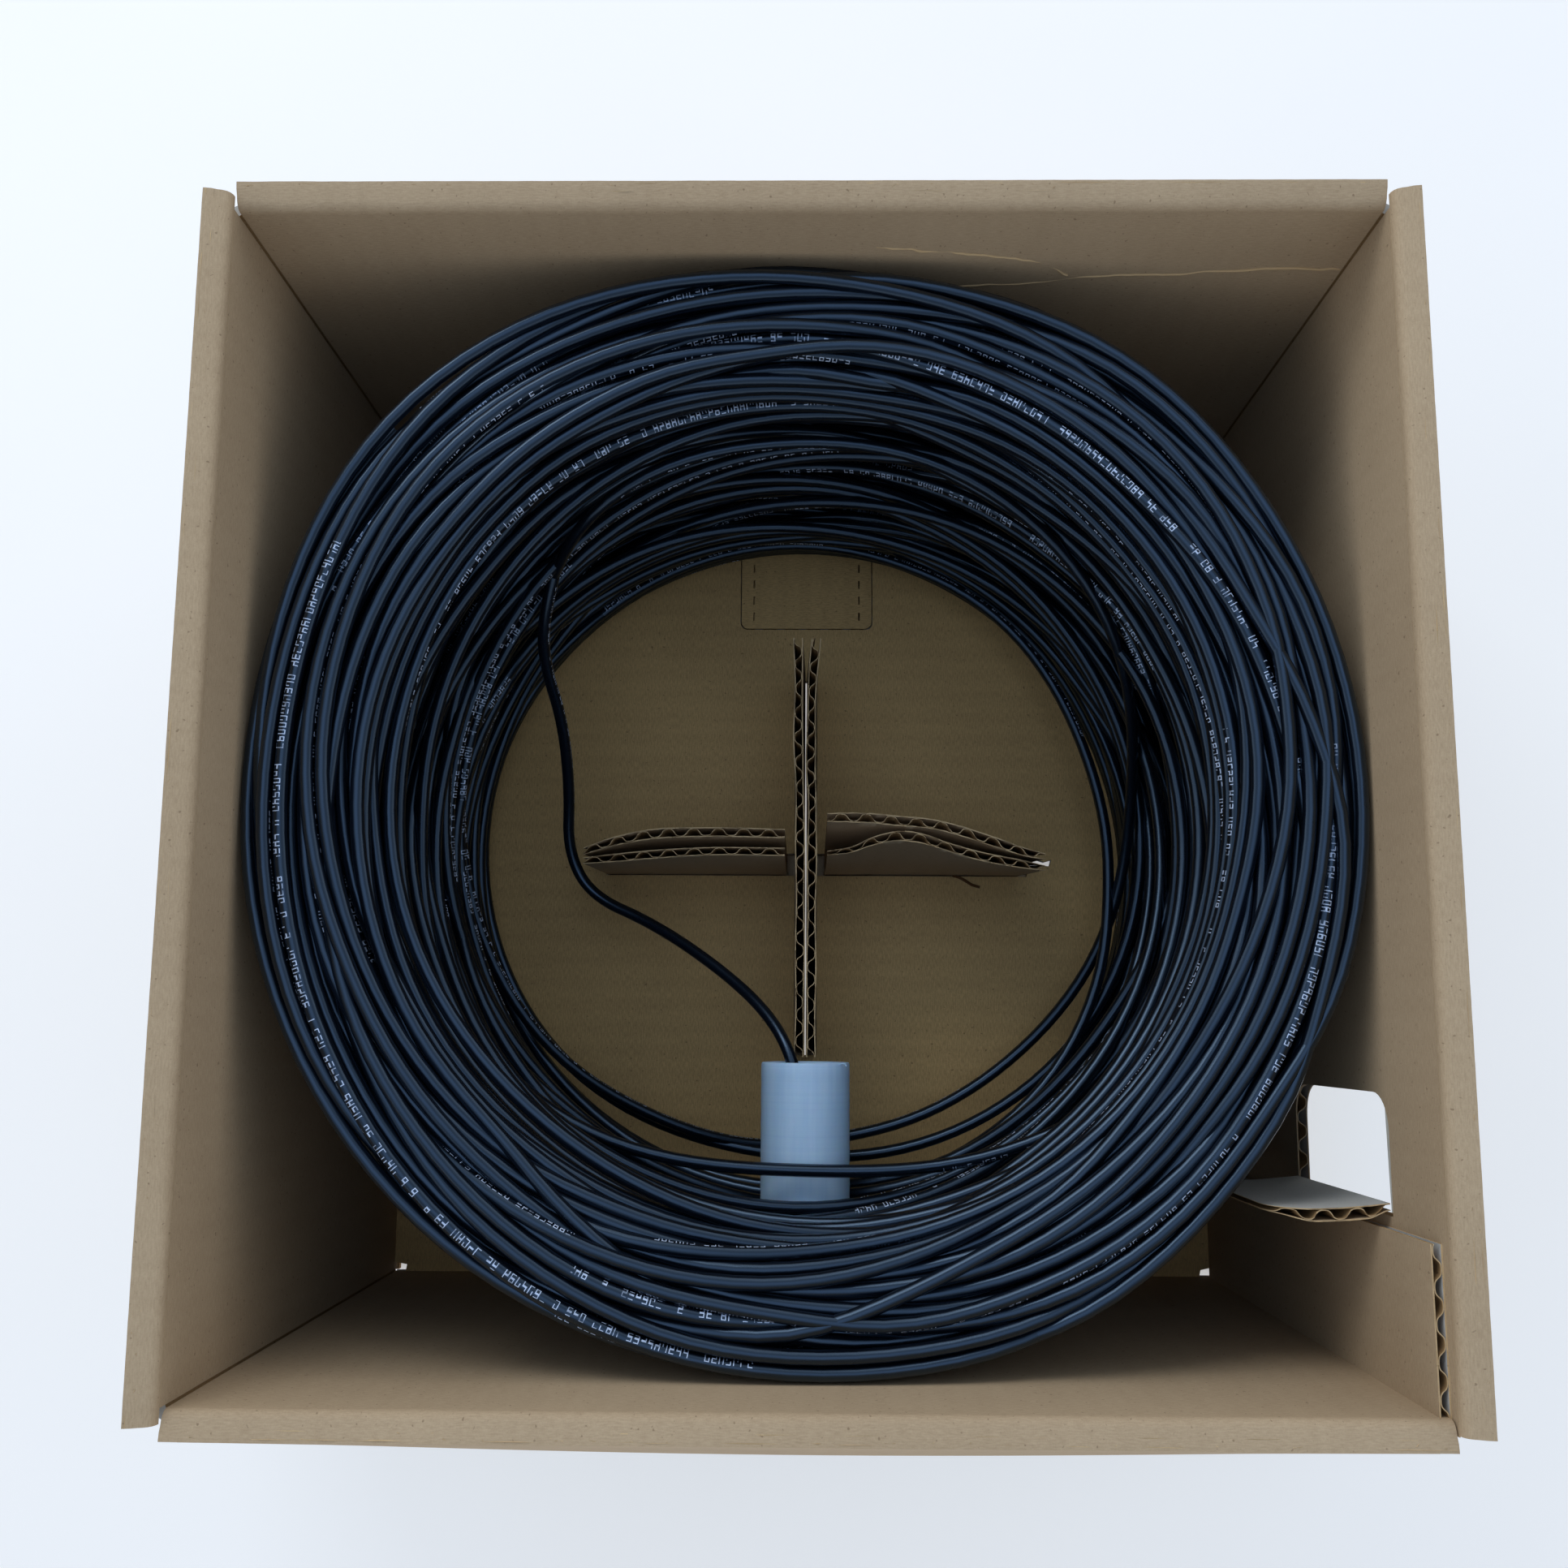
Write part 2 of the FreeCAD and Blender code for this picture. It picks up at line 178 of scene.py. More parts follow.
# ---- materials
def paper(name, light, dark, speck, ripple_share, fibre=0.35):
    """A paper liner. Its UV map "sheet" has metres across the flutes in x and along them in y."""
    n = material_nodes(name)
    sheet = n.add("UVMap", uv_map="sheet").outputs[0]
    cloud = n.noise(sheet, 14.0, 4.0, 0.6)
    fibres = n.noise(n.stretched(sheet, 500.0, 2600.0), 1.0, 3.0, 0.6)
    fine = n.noise(n.stretched(sheet, 2600.0, 1900.0), 1.0, 2.0, 0.6)
    across = n.add("SeparateXYZ", {0: sheet}).outputs[0]
    ripple = n.math("SINE", n.times(across, 2 * math.pi / FLUTE_PITCH))
    shade = n.plus(n.mapped(cloud, 0.3, 0.7, -0.25, 0.25), n.times(ripple, ripple_share))
    shade = n.plus(shade, n.mapped(fibres, 0.3, 0.7, -fibre, fibre))
    shade = n.plus(shade, n.mapped(fine, 0.3, 0.7, -0.15, 0.15))
    colour = n.mix(n.mapped(shade, -0.8, 0.8), dark, light)
    specks = n.mapped(n.noise(n.stretched(sheet, 900.0, 700.0), 1.0, 1.0), 0.70, 0.76, 0.0, 0.55)
    colour = n.mix(specks, colour, speck)
    height = n.plus(n.times(ripple, 0.2), n.times(fibres, 0.8))
    rough = n.mapped(cloud, 0.3, 0.7, 0.78, 0.92)
    return n.shade(colour, rough, height, strength=0.25, distance=0.00025, Specular_IOR_Level=0.25)


def ink_marks(n, strand):
    """Short unreadable marks in broken lines along the cable: 1 where there is ink."""
    glyph_pitch, glyph_width, glyph_height = 0.00172, 0.68, 0.20
    parts = n.add("SeparateXYZ", {0: strand})
    along, turn = parts.outputs[0], parts.outputs[1]

    def along_noise(scale, offset, detail):
        place = n.add("CombineXYZ", {0: n.times(along, scale), 1: offset}).outputs[0]
        return n.noise(place, 1.0, detail)

    def chance(x, y, z):
        """A random value for each cell, from whole numbers."""
        place = n.add("CombineXYZ", {0: x, 1: y, 2: z}).outputs[0]
        return n.add("TexWhiteNoise", {"Vector": place}).outputs[0]

    centre = n.mapped(along_noise(1.1, 7.0, 1.0), 0.25, 0.75, -0.6, 1.5)
    rise = n.math("DIVIDE", n.math("SUBTRACT", turn, centre), glyph_height)
    glyph = n.math("DIVIDE", along, glyph_pitch)
    cell = n.math("FLOOR", glyph)
    across = n.math("DIVIDE", n.math("FRACT", glyph), glyph_width)
    inside = n.times(n.below(across, 1.0), n.above(rise, 0.0))
    inside = n.times(inside, n.below(rise, 1.0))
    at_side = n.above(n.math("ABSOLUTE", n.math("SUBTRACT", across, 0.5)), 0.31)
    side, half = n.above(across, 0.5), n.above(rise, 0.5)
    upright = n.times(at_side, n.above(chance(cell, side, half), 0.42))
    level = n.math("ROUND", n.times(rise, 2.0))
    off_level = n.math("ABSOLUTE", n.math("SUBTRACT", n.times(rise, 2.0), level))
    bar = n.times(n.below(off_level, 0.2), n.above(chance(cell, level, 7.0), 0.45))
    marks = n.times(n.math("MAXIMUM", upright, bar), inside)
    word = n.above(chance(cell, 3.0, 5.0), 0.21)
    legend = n.above(along_noise(3.1, 3.0, 0.0), 0.55)
    wear = n.mapped(n.noise(n.stretched(strand, 260.0, 5.0), 1.0, 2.0), 0.30, 0.52, 0.25, 1.0)
    return n.times(n.times(marks, word), n.times(legend, wear))


def jacket_material():
    """Black PVC with a soft sheen. Its UV map "strand" has metres along it and the share of a turn."""
    n = material_nodes("cable_jacket")
    strand = n.add("UVMap", uv_map="strand").outputs[0]
    cloud = n.noise(n.stretched(strand, 18.0, 2.0), 1.0, 3.0)
    base = n.mix(n.mapped(cloud, 0.3, 0.7), rgb(8, 11, 17), rgb(12, 16, 25))
    colour = n.mix(ink_marks(n, strand), base, rgb(206, 220, 244))
    fine = n.noise(n.stretched(strand, 1400.0, 6.0), 1.0, 3.0, 0.6)
    rough = n.mapped(n.noise(n.stretched(strand, 60.0, 3.0), 1.0, 2.0), 0.3, 0.7, 0.24, 0.32)
    return n.shade(colour, rough, fine, strength=0.12, distance=0.0001, Specular_IOR_Level=0.95,
                   Specular_Tint=(0.50, 0.72, 1.0, 1.0))


def tube_material():
    """Natural polyethylene: slightly waxy, with faint turning rings and rubbed streaks."""
    n = material_nodes("payout_tube")
    place = n.add("TexCoord").outputs["Object"]
    rings = n.noise(n.stretched(place, 1.0, 900.0), 1.0, 3.0, 0.7)
    streaks = n.noise(n.stretched(place, 260.0, 22.0, 260.0), 1.0, 3.0, 0.6)
    shade = n.plus(n.mapped(rings, 0.3, 0.7, -0.2, 0.2), n.mapped(streaks, 0.3, 0.7, 0.1, 0.9))
    colour = n.mix(shade, rgb(176, 208, 236), rgb(200, 226, 246))
    rough = n.mapped(streaks, 0.3, 0.7, 0.36, 0.52)
    height = n.plus(rings, n.times(streaks, 0.4))
    return n.shade(colour, rough, height, strength=0.12, Subsurface_Weight=0.25, Subsurface_Scale=0.004)


def grained(name, light, dark, scale, smoothest, roughest, metallic=0.0):
    """A fine grain in colour, roughness and height, for the small parts of the cable's cut end."""
    n = material_nodes(name)
    grain = n.noise(n.add("TexCoord").outputs["Object"], scale, 2.0)
    colour = n.mix(n.mapped(grain, 0.3, 0.7), dark, light)
    return n.shade(colour, n.mapped(grain, 0.3, 0.7, smoothest, roughest), grain, Metallic=metallic)


def glowing_floor_material():
    n = material_nodes("studio_floor")
    cloud = n.noise(n.add("TexCoord").outputs["Object"], 3.0, 3.0)
    colour = n.mix(n.mapped(cloud, 0.3, 0.7), rgb(206, 206, 205), rgb(212, 212, 211))
    # The floor glows faintly. This is painted light: it keeps the floor evenly bright even under the carton,
    # where it shows through the openings in the closed end as light.
    return n.shade(colour, 0.75, Emission_Color=(1.0, 1.0, 1.0, 1.0), Emission_Strength=0.42)


KRAFT = paper("kraft_liner", rgb(202, 177, 144), rgb(168, 143, 112), rgb(116, 92, 66), 0.035)
WHITE = paper("white_liner", rgb(216, 215, 210), rgb(192, 190, 182), rgb(146, 136, 118), 0.035, 0.22)
FLUTE = paper("fluted_medium", rgb(186, 152, 106), rgb(138, 106, 70), rgb(84, 62, 40), 0.0)
CUT_EDGE = paper("cut_board_edge", rgb(222, 194, 150), rgb(184, 152, 108), rgb(130, 100, 66), 0.0)
FLOOR_KRAFT = paper("floor_liner", rgb(222, 182, 122), rgb(178, 144, 94), rgb(104, 78, 46), 0.08, 0.6)
SCUFFED = paper("scuffed_liner", rgb(112, 76, 44), rgb(84, 56, 32), rgb(60, 40, 24), 0.0)
JACKET = jacket_material()
POLYTHENE = tube_material()
COPPER = grained("copper_strands", rgb(214, 140, 96), rgb(176, 104, 66), 4000.0, 0.25, 0.4, 1.0)
FOIL = grained("foil_screen", rgb(200, 202, 206), rgb(160, 163, 168), 4000.0, 0.25, 0.4, 1.0)
RED_CORE = grained("red_insulation", rgb(176, 38, 34), rgb(150, 28, 26), 2500.0, 0.4, 0.55)
BLACK_CORE = grained("black_insulation", rgb(34, 34, 36), rgb(24, 24, 26), 2500.0, 0.4, 0.55)


# ---- mesh helpers
def distances(line):
    """How far along a line each of its points is."""
    return np.concatenate([[0], np.cumsum(np.linalg.norm(np.diff(line, axis=0), axis=1))])


def unit(vectors):
    return vectors / np.linalg.norm(vectors, axis=1)[:, None]


def ring_faces(rings, sides):
    """Point numbers of a row of rings, the same numbers one side on, and the faces between the rings."""
    index = np.arange(rings * sides).reshape(rings, sides)
    following = np.roll(index, -1, axis=1)
    faces = np.stack([index[:-1], following[:-1], following[1:], index[1:]], -1).reshape(-1, 4)
    return index, following, faces


def soften(mesh):
    """Smooth shading, with the edges kept crisp where the surface turns sharply."""
    mesh.shade_smooth()
    mesh.set_sharp_from_angle(angle=math.radians(50))


def new_piece(name, points, faces, materials, face_material=None, uv_name=None, uvs=None, caps=None):
    """A mesh piece from arrays. uvs has one pair per point, or one per face corner; caps are triangles."""
    mesh = bpy.data.meshes.new(name)
    points = np.asarray(points, float).reshape(-1, 3)
    faces = np.asarray(faces)
    corners = faces.ravel()
    starts = np.arange(len(faces)) * faces.shape[1]
    if caps is not None:
        starts = np.concatenate([starts, faces.size + np.arange(len(caps)) * 3])
        corners = np.concatenate([corners, caps.ravel()])
    mesh.vertices.add(len(points))
    mesh.vertices.foreach_set("co", points.ravel())
    mesh.loops.add(len(corners))
    mesh.loops.foreach_set("vertex_index", corners.astype(np.int32))
    mesh.polygons.add(len(starts))
    mesh.polygons.foreach_set("loop_start", starts.astype(np.int32))
    for material in materials:
        mesh.materials.append(material)
    if face_material is not None:
        mesh.polygons.foreach_set("material_index", np.asarray(face_material, dtype=np.int32))
    if uvs is not None:
        layer = mesh.uv_layers.new(name=uv_name)
        uvs = np.asarray(uvs, float)
        if len(uvs) == len(points):
            uvs = uvs[corners]
        layer.data.foreach_set("uv", uvs.ravel())
    mesh.update(calc_edges=True)
    mesh.validate()
    soften(mesh)
    piece = linked(bpy.data.objects.new(name, mesh))
    return piece


def sheet_solid(xs, ys, low, high):
    """A thin closed solid over a grid. low and high give its two faces as heights over the grid."""
    columns, rows = len(xs), len(ys)
    across, along = np.meshgrid(xs, ys)
    under = np.stack([across, along, np.broadcast_to(low, across.shape)], -1).reshape(-1, 3)
    over = np.stack([across, along, np.broadcast_to(high, across.shape)], -1).reshape(-1, 3)
    index = np.arange(columns * rows).reshape(rows, columns)
    shift = columns * rows
    a, b, c, d = index[:-1, :-1], index[:-1, 1:], index[1:, 1:], index[1:, :-1]
    bottom = np.stack([a, d, c, b], -1).reshape(-1, 4)
    top = np.stack([a, b, c, d], -1).reshape(-1, 4) + shift
    rim = np.concatenate([index[0, :], index[1:, -1], index[-1, -2::-1], index[-2:0:-1, 0]])
    following = np.roll(rim, -1)
    side = np.stack([rim, following, following + shift, rim + shift], -1)
    return np.concatenate([under, over]), np.concatenate([bottom, top, side])


def corrugated(name, width, length, place, liners=(KRAFT, WHITE), rows=2, columns=None, seed=0, thick=BOARD,
               fray=0.0):
    """Board with two liners and a fluted medium. place turns local points into the row frame.

    Local x runs across the flutes from 0 to width, y along them from 0 to length, and z from the
    first liner at 0 to the second at the board's thickness.
    """
    wave_points, steepness, clearance = 14, 1.7, 0.00003
    rng = np.random.default_rng(seed)
    ys = np.linspace(0, length, rows)
    plain = np.linspace(0, width, columns or max(2, int(width / 0.006) + 1))
    wave = np.linspace(0, width, max(2, int(width / FLUTE_PITCH * wave_points)))
    reach = thick / 2 - LINER - MEDIUM / 2 - clearance
    phase = rng.uniform(0, 2 * math.pi)
    steep = steepness * np.sin(2 * math.pi * wave / FLUTE_PITCH + phase)
    centre = thick / 2 + reach * steep / np.sqrt(1 + steep**2) * math.hypot(1, steepness) / steepness
    half = MEDIUM / 2 * np.hypot(1, np.gradient(centre, wave))
    low_side = np.maximum(centre - half, LINER * 0.9)
    high_side = np.minimum(centre + half, thick - LINER * 0.9)
    solids = [
        sheet_solid(plain, ys, 0.0, LINER),
        sheet_solid(plain, ys, thick - LINER, thick),
        sheet_solid(wave, ys, low_side, high_side),
    ]
    points, faces, slots = [], [], []
    start = 0
    for slot, (some_points, some_faces) in enumerate(solids):
        points.append(some_points)
        faces.append(some_faces + start)
        slots.append(np.full(len(some_faces), slot))
        around = 2 * (rows + (len(wave) if slot == 2 else len(plain))) - 4
        slots[-1][-around:] = 3
        start += len(some_points)
    points = np.concatenate(points)
    uvs = points[:, :2] + rng.uniform(0, 3, 2)
    if fray:
        cut = (points[:, 1] > length - 1e-9) | (points[:, 1] < 1e-9)
        points[cut, 1] += rng.normal(0, fray, cut.sum())
    return new_piece(name, place(points), np.concatenate(faces), (*liners, FLUTE, CUT_EDGE),
                     np.concatenate(slots), "sheet", uvs)


def rounded_outline(u_low, u_high, v_low, v_high, radius, steps=8):
    """A rectangle with its two high-v corners rounded, anticlockwise."""
    outline = [(u_low, v_low), (u_high, v_low)]
    for u, v, start in ((u_high - radius, v_high - radius, 0), (u_low + radius, v_high - radius, 90)):
        for step in range(steps + 1):
            angle = math.radians(start + 90 * step / steps)
            outline.append((u + radius * math.cos(angle), v + radius * math.sin(angle)))
    return outline


def prism(outline, along, low, high):
    """A temporary solid for cutting: an outline extruded along an axis between two heights."""
    maker = bmesh.new()
    ends = []
    for height in (low, high):
        places = [{"x": (height, v, u), "y": (u, height, v), "z": (u, v, height)}[along]
                  for u, v in outline]
        ends.append([maker.verts.new(place) for place in places])
        maker.faces.new(ends[-1])
    for i in range(len(outline)):
        maker.faces.new((ends[0][i - 1], ends[0][i], ends[1][i], ends[1][i - 1]))
    bmesh.ops.recalc_face_normals(maker, faces=maker.faces)
    mesh = bpy.data.meshes.new("cutter")
    maker.to_mesh(mesh)
    maker.free()
    return linked(bpy.data.objects.new("cutter", mesh))


def circle(u, v, radius, steps=64):
    angles = [2 * math.pi * step / steps for step in range(steps)]
    return [(u + radius * math.cos(a), v + radius * math.sin(a)) for a in angles]


def carve(piece, cutter, operation="DIFFERENCE"):
    """Cuts a piece with a temporary solid, and removes the solid."""
    modifier = piece.modifiers.new("cut", "BOOLEAN")
    modifier.operation = operation
    modifier.solver = "EXACT"
    modifier.object = cutter
    bpy.context.view_layer.update()
    graph = bpy.context.evaluated_depsgraph_get()
    mesh = bpy.data.meshes.new_from_object(piece.evaluated_get(graph), preserve_all_data_layers=True,
                                           depsgraph=graph)
    soften(mesh)
    piece.modifiers.clear()
    old = piece.data
    piece.data = mesh
    bpy.data.meshes.remove(old)
    bpy.data.objects.remove(cutter)


def on_body(piece, body, *nodes):
    """The piece rides on a body and stands for CAD nodes."""
    if nodes:
        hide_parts(*nodes)
    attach(piece, body)


def eased(value, low, high):
    """0 below low, 1 above high, smooth between."""
    share = np.clip((value - low) / (high - low), 0, 1)
    return share * share * (3 - 2 * share)


def curve_through(knots, places):
    """Smooth values at some places, through knots given as (place, value) pairs in order."""
    at, value = np.array(knots, float).T
    slope = np.gradient(value, at)
    cell = np.clip(np.searchsorted(at, places, side="right") - 1, 0, len(at) - 2)
    width = at[cell + 1] - at[cell]
    t = np.clip((places - at[cell]) / width, 0, 1)
    return (value[cell] * (1 + 2 * t) * (1 - t) ** 2 + slope[cell] * width * t * (1 - t) ** 2
            + value[cell + 1] * t * t * (3 - 2 * t) + slope[cell + 1] * width * t * t * (t - 1))


# ---- carton
def wall(side, x_from, x_to, z_from, z_to, seed):
    """One wall. side is front, back, left or right; x is measured along the wall."""

    def place(p):
        lateral, depth, height = x_from + p[:, 0], CLEAR + p[:, 2], z_from + p[:, 1]
        x, y = {"front": (lateral, -depth), "back": (-lateral, depth), "left": (-depth, -lateral),
                "right": (depth, lateral)}[side]
        return np.stack([x, y, height], -1)

    return corrugated(f"carton_wall_{side}", x_to - x_from, z_to - z_from, place, rows=9, seed=seed)


def swept_board(name, outline, ends, place, materials, face_material):
    """A cross-section drawn out along an edge, where place turns (u, v, along) into a point."""
    count = len(outline)
    points = [place(u, v, along) for along in ends for u, v in outline]
    uvs = [(across, along) for along in ends for across in distances(outline)]
    faces = [(i, (i + 1) % count, (i + 1) % count + count, i + count) for i in range(count)]
    fold = new_piece(name, points, faces, materials, face_material, "sheet", uvs)
    close_ends(fold, range(count), range(count, 2 * count))
    on_body(fold, "carton")


def build_folds():
    """The board bent round the carton's corners and round the edges of its closed end."""
    angles = [math.radians(a) for a in range(0, 91, 15)]
    outline = [(BOARD, -CORNER_PLAY)] + [(BOARD * math.cos(a), BOARD * math.sin(a)) for a in angles]
    outline += [(-CORNER_PLAY, BOARD), (-CORNER_PLAY, 0.0007), (0.0004, 0.0004), (0.0007, -CORNER_PLAY)]
    inside = [0] * 8 + [1] * (len(outline) - 8)
    for name, x, y in (("front_left", -1, -1), ("back_left", -1, 1), ("back_right", 1, 1)):
        swept_board(f"corner_fold_{name}", outline, (BOARD, MINOR_RIM - 0.001),
                    lambda u, v, z: (x * (CLEAR + u), y * (CLEAR + v), z), [WHITE, FLUTE], inside)
    for name, x in (("left", -1), ("right", 1)):
        swept_board(f"base_fold_{name}", outline, (-CLEAR, CLEAR),
                    lambda u, v, y: (x * (CLEAR + u), y, BOARD - v), [WHITE, FLUTE], inside)
    skin = [(0.0, 0.0085), (0.00022, 0.0068), (0.00022, 0.0050), (-0.0004, 0.0036), (-0.0012, 0.0033),
            (-0.0012, 0.0085)]
    for name, y in (("front", -1), ("back", 1)):
        swept_board(f"base_fold_{name}", skin, (-CLEAR, CLEAR),
                    lambda out, z, x: (x, y * (OUTER + out), z), [WHITE], None)


# Cracks in the back wall's liner, where it has buckled: (x, z) in mm.
CRACKS = (
    ((36.9, 155.0), (55.2, 156.3), (71.8, 160.0), (86.4, 161.7), (93.0, 161.1), (109.5, 163.2),
     (119.6, 164.7), (136.6, 164.5), (139.0, 163.6)),
    ((17.3, 175.6), (30.9, 173.6), (53.2, 170.1), (59.9, 167.4), (68.3, 161.5)),
)
SCUFF = ((51.8, -3.6), (54.0, -4.2), (56.1, -5.3), (58.6, -6.9), (61.4, -7.7))


def build_blemishes():
    """Buckled lines across the back wall and a torn sliver of liner by the right rib."""
    rng = np.random.default_rng(61)
    samples = 90
    blemishes = []
    for number, crack in enumerate(CRACKS, start=1):
        x, z = np.array(crack).T / 1000
        places = np.linspace(x[0], x[-1], samples)
        height = np.interp(places, x, z) + 0.00022 * smooth_noise(rng, samples, 1.5)
        depth = CLEAR + 0.00022 + 0.00012 * smooth_noise(rng, samples, 3)
        line = np.stack([places, depth, height], -1)
        blemishes.append((f"wall_crack_{number}", line, 0.00042, CUT_EDGE))
    x, y = np.array(SCUFF).T / 1000
    places = np.linspace(x[0], x[-1], 24)
    line = np.stack([places, np.interp(places, x, y), np.full(len(places), FLOOR_TOP + 0.0002)], -1)
    blemishes.append(("floor_scuff", line, 0.00055, SCUFFED))
    for name, line, radius, material in blemishes:
        piece = tube_along(name, line, radius, 6, [material], uv_name="sheet")
        on_body(piece, "carton")


def build_walls():
    """The four walls, with the payout hole in the front one and the hand hole in the right one."""
    hand_hole = rounded_outline(0.0964, 0.1644, -0.101, -0.072, CORNER_RADIUS)
    payout_hole = circle(0.0, TUBE_AXIS_Z, TUBE_RADIUS + 0.0004)
    left = wall("left", -CLEAR + CORNER_PLAY, CLEAR - CORNER_PLAY, BOARD, MAJOR_RIM, 1)
    back = wall("back", -CLEAR + CORNER_PLAY, CLEAR - CORNER_PLAY, FLOOR_TOP, MINOR_RIM, 2)
    front = wall("front", -CLEAR + CORNER_PLAY, CLEAR, FLOOR_TOP, MINOR_RIM, 3)
    carve(front, prism(payout_hole, "y", -OUTER - 0.01, -CLEAR + 0.01))
    right = wall("right", -OUTER, CLEAR - CORNER_PLAY, BOARD, MAJOR_RIM, 4)
    carve(right, prism(hand_hole, "x", CLEAR - 0.01, OUTER + 0.01))
    for piece, side in ((left, "left"), (back, "back"), (front, "front"), (right, "right")):
        on_body(piece, "carton", f"carton_wall_{side}")


def build_glue_tab():
    """The tab glued inside the right wall, crushed flatter than the board."""
    low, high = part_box("glue_joint_tab")

    def place(p):
        return np.stack([high.x - p[:, 2], low.y + p[:, 0], low.z + p[:, 1]], -1)

    tab = corrugated("glue_joint_tab", high.y - low.y, high.z - low.z, place, (WHITE, KRAFT), seed=5,
                     thick=high.x - low.x)
    on_body(tab, "carton", "glue_joint_tab")


def build_base():
    """The closed end: two outer flaps under one slotted panel, and the perforated tab."""
    flap_gaps = light_gaps(0.0022)
    for side, sign, seed, gaps in (("left", -1, 6, flap_gaps[:1]), ("right", 1, 7, flap_gaps[1:])):

        def place(p, sign=sign):
            return np.stack([sign * (CLEAR - p[:, 1]), -OUTER + p[:, 0], BOARD - p[:, 2]], -1)

        flap = corrugated(f"base_outer_flap_{side}", 2 * OUTER, CLEAR - SEAM, place, seed=seed)
        for gap in gaps:
            carve(flap, prism(gap, "z", -0.01, 0.05))
        on_body(flap, "carton", f"base_outer_flap_{side}")

    def place(p):
        return np.stack([CLEAR - p[:, 1], -OUTER + p[:, 0], FLOOR_TOP - p[:, 2]], -1)

    panel = corrugated("base_inner_panel", 2 * OUTER, 2 * CLEAR, place, (FLOOR_KRAFT, WHITE), seed=8)
    slot_half = BOARD + 0.00075
    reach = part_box("rib_long_left")[1].y + 0.0005
    carve(panel, prism(rectangle(-slot_half, slot_half, -reach, reach), "z", 0.0, 0.05))
    left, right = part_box("rib_front_left")[0].x - 0.0005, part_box("rib_front_right")[1].x + 0.003
    carve(panel, prism(rectangle(left, right, -slot_half, slot_half), "z", 0.0, 0.05))
    low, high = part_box("knockout_tab")
    gap = 0.0004
    carve(panel, prism(tab_outline(low.x - gap, high.x + gap, low.y - gap, high.y + gap), "z", 0.0, 0.05))
    for gap in light_gaps():
        carve(panel, prism(gap, "z", 0.0, 0.05))
    on_body(panel, "carton", "base_inner_panel")
    build_knockout()


def light_gaps(grow=0.0):
    """Small openings through the closed end: its left and right front corners, and past the right rib."""
    edge = CLEAR + grow
    left = [(-edge, -edge), (-0.1362, -edge), (-0.1358, -0.1378), (-edge, -0.1371)]
    right = [(0.1340, -edge), (edge, -edge), (edge, -0.1366), (0.1345, -0.1378)]
    torn = [(0.0788, -0.0008), (0.0822, 0.0001), (0.0862, -0.0002), (0.0868 + grow, 0.0021),
            (0.0842, 0.0014 + grow), (0.0812, 0.0024 + grow), (0.0790, 0.0012)]
    return [left, right, torn]


def rectangle(u_low, u_high, v_low, v_high):
    return [(u_low, v_low), (u_high, v_low), (u_high, v_high), (u_low, v_high)]


def tab_outline(x_low, x_high, y_low, y_high):
    """The perforated tab's outline, with its rounded corners towards the centre."""
    outline = rounded_outline(x_low, x_high, y_low, y_high, 0.0025)
    return [(u, y_low + y_high - v) for u, v in reversed(outline)]


def build_knockout():
    """The perforated tab, flush in the floor panel, with a dashed line of nicks near each side."""
    low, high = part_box("knockout_tab")
    inset, nick_length, nick_half = 0.0045, 0.003, 0.0003

    def place(p):
        return np.stack([low.x + p[:, 0], low.y + p[:, 1], FLOOR_TOP - p[:, 2]], -1)

    tab = corrugated("knockout_tab", high.x - low.x, high.y - low.y, place, (FLOOR_KRAFT, WHITE), seed=10)
    carve(tab, prism(tab_outline(low.x, high.x, low.y, high.y), "z", 0.0, 0.05), "INTERSECT")
    for x in (low.x + inset, high.x - inset):
        for step in range(5):
            y = low.y + nick_length + 2 * nick_length * step
            nick = rectangle(x - nick_half, x + nick_half, y, y + nick_length)
            carve(tab, prism(nick, "z", FLOOR_TOP - 0.0012, FLOOR_TOP + 0.001))
    on_body(tab, "carton", "knockout_tab")


# Top edges of the upright ribs. The long plies have (y, x of the middle); the short ones, which
# bulge, have (x, y of the middle, thickness as a share of the board's).
LONG_TOPS = {
    "rib_long_left": ((-66, -1.9), (-15, -1.8), (4, -1.9), (14, -2.0), (24, -2.3), (33, -2.6), (53, -2.5),
                      (66, -2.8)),
    "rib_long_right": ((-66, 1.7), (-15, 1.8), (4, 1.9), (14, 1.9), (24, 1.4), (33, 1.5), (53, 2.0),
                       (66, 3.1)),
}
SHORT_TOPS = {
    "rib_back_left": ((-70, -2.6, 0.7), (-60, 0.4, 0.9), (-50, 2.5, 1.0), (-32, 3.5, 0.95), (-7, 3.1, 0.9)),
    "rib_front_left": ((-70, -5.6, 0.6), (-60, -4.8, 0.8), (-50, -3.8, 0.85), (-32, -2.6, 0.8),
                       (-7, -2.7, 0.8)),
    "rib_back_right": ((7, 8.2, 0.9), (18, 8.2, 1.0), (30, 7.2, 1.0), (40, 6.2, 1.0), (50, 3.6, 1.0),
                       (59, 0.6, 1.0), (68, -2.2, 0.85), (75, -3.6, 0.6)),
    "rib_front_right": ((7, -3.0, 0.45), (15, -1.6, 0.6), (20, 0.5, 0.8), (25, 1.9, 0.95), (30, 2.5, 1.05),
                        (37, 1.5, 1.0), (43, -0.5, 0.9), (50, -2.7, 0.9), (60, -5.0, 0.9), (68, -6.2, 0.8),
                        (75, -7.2, 0.5)),
}


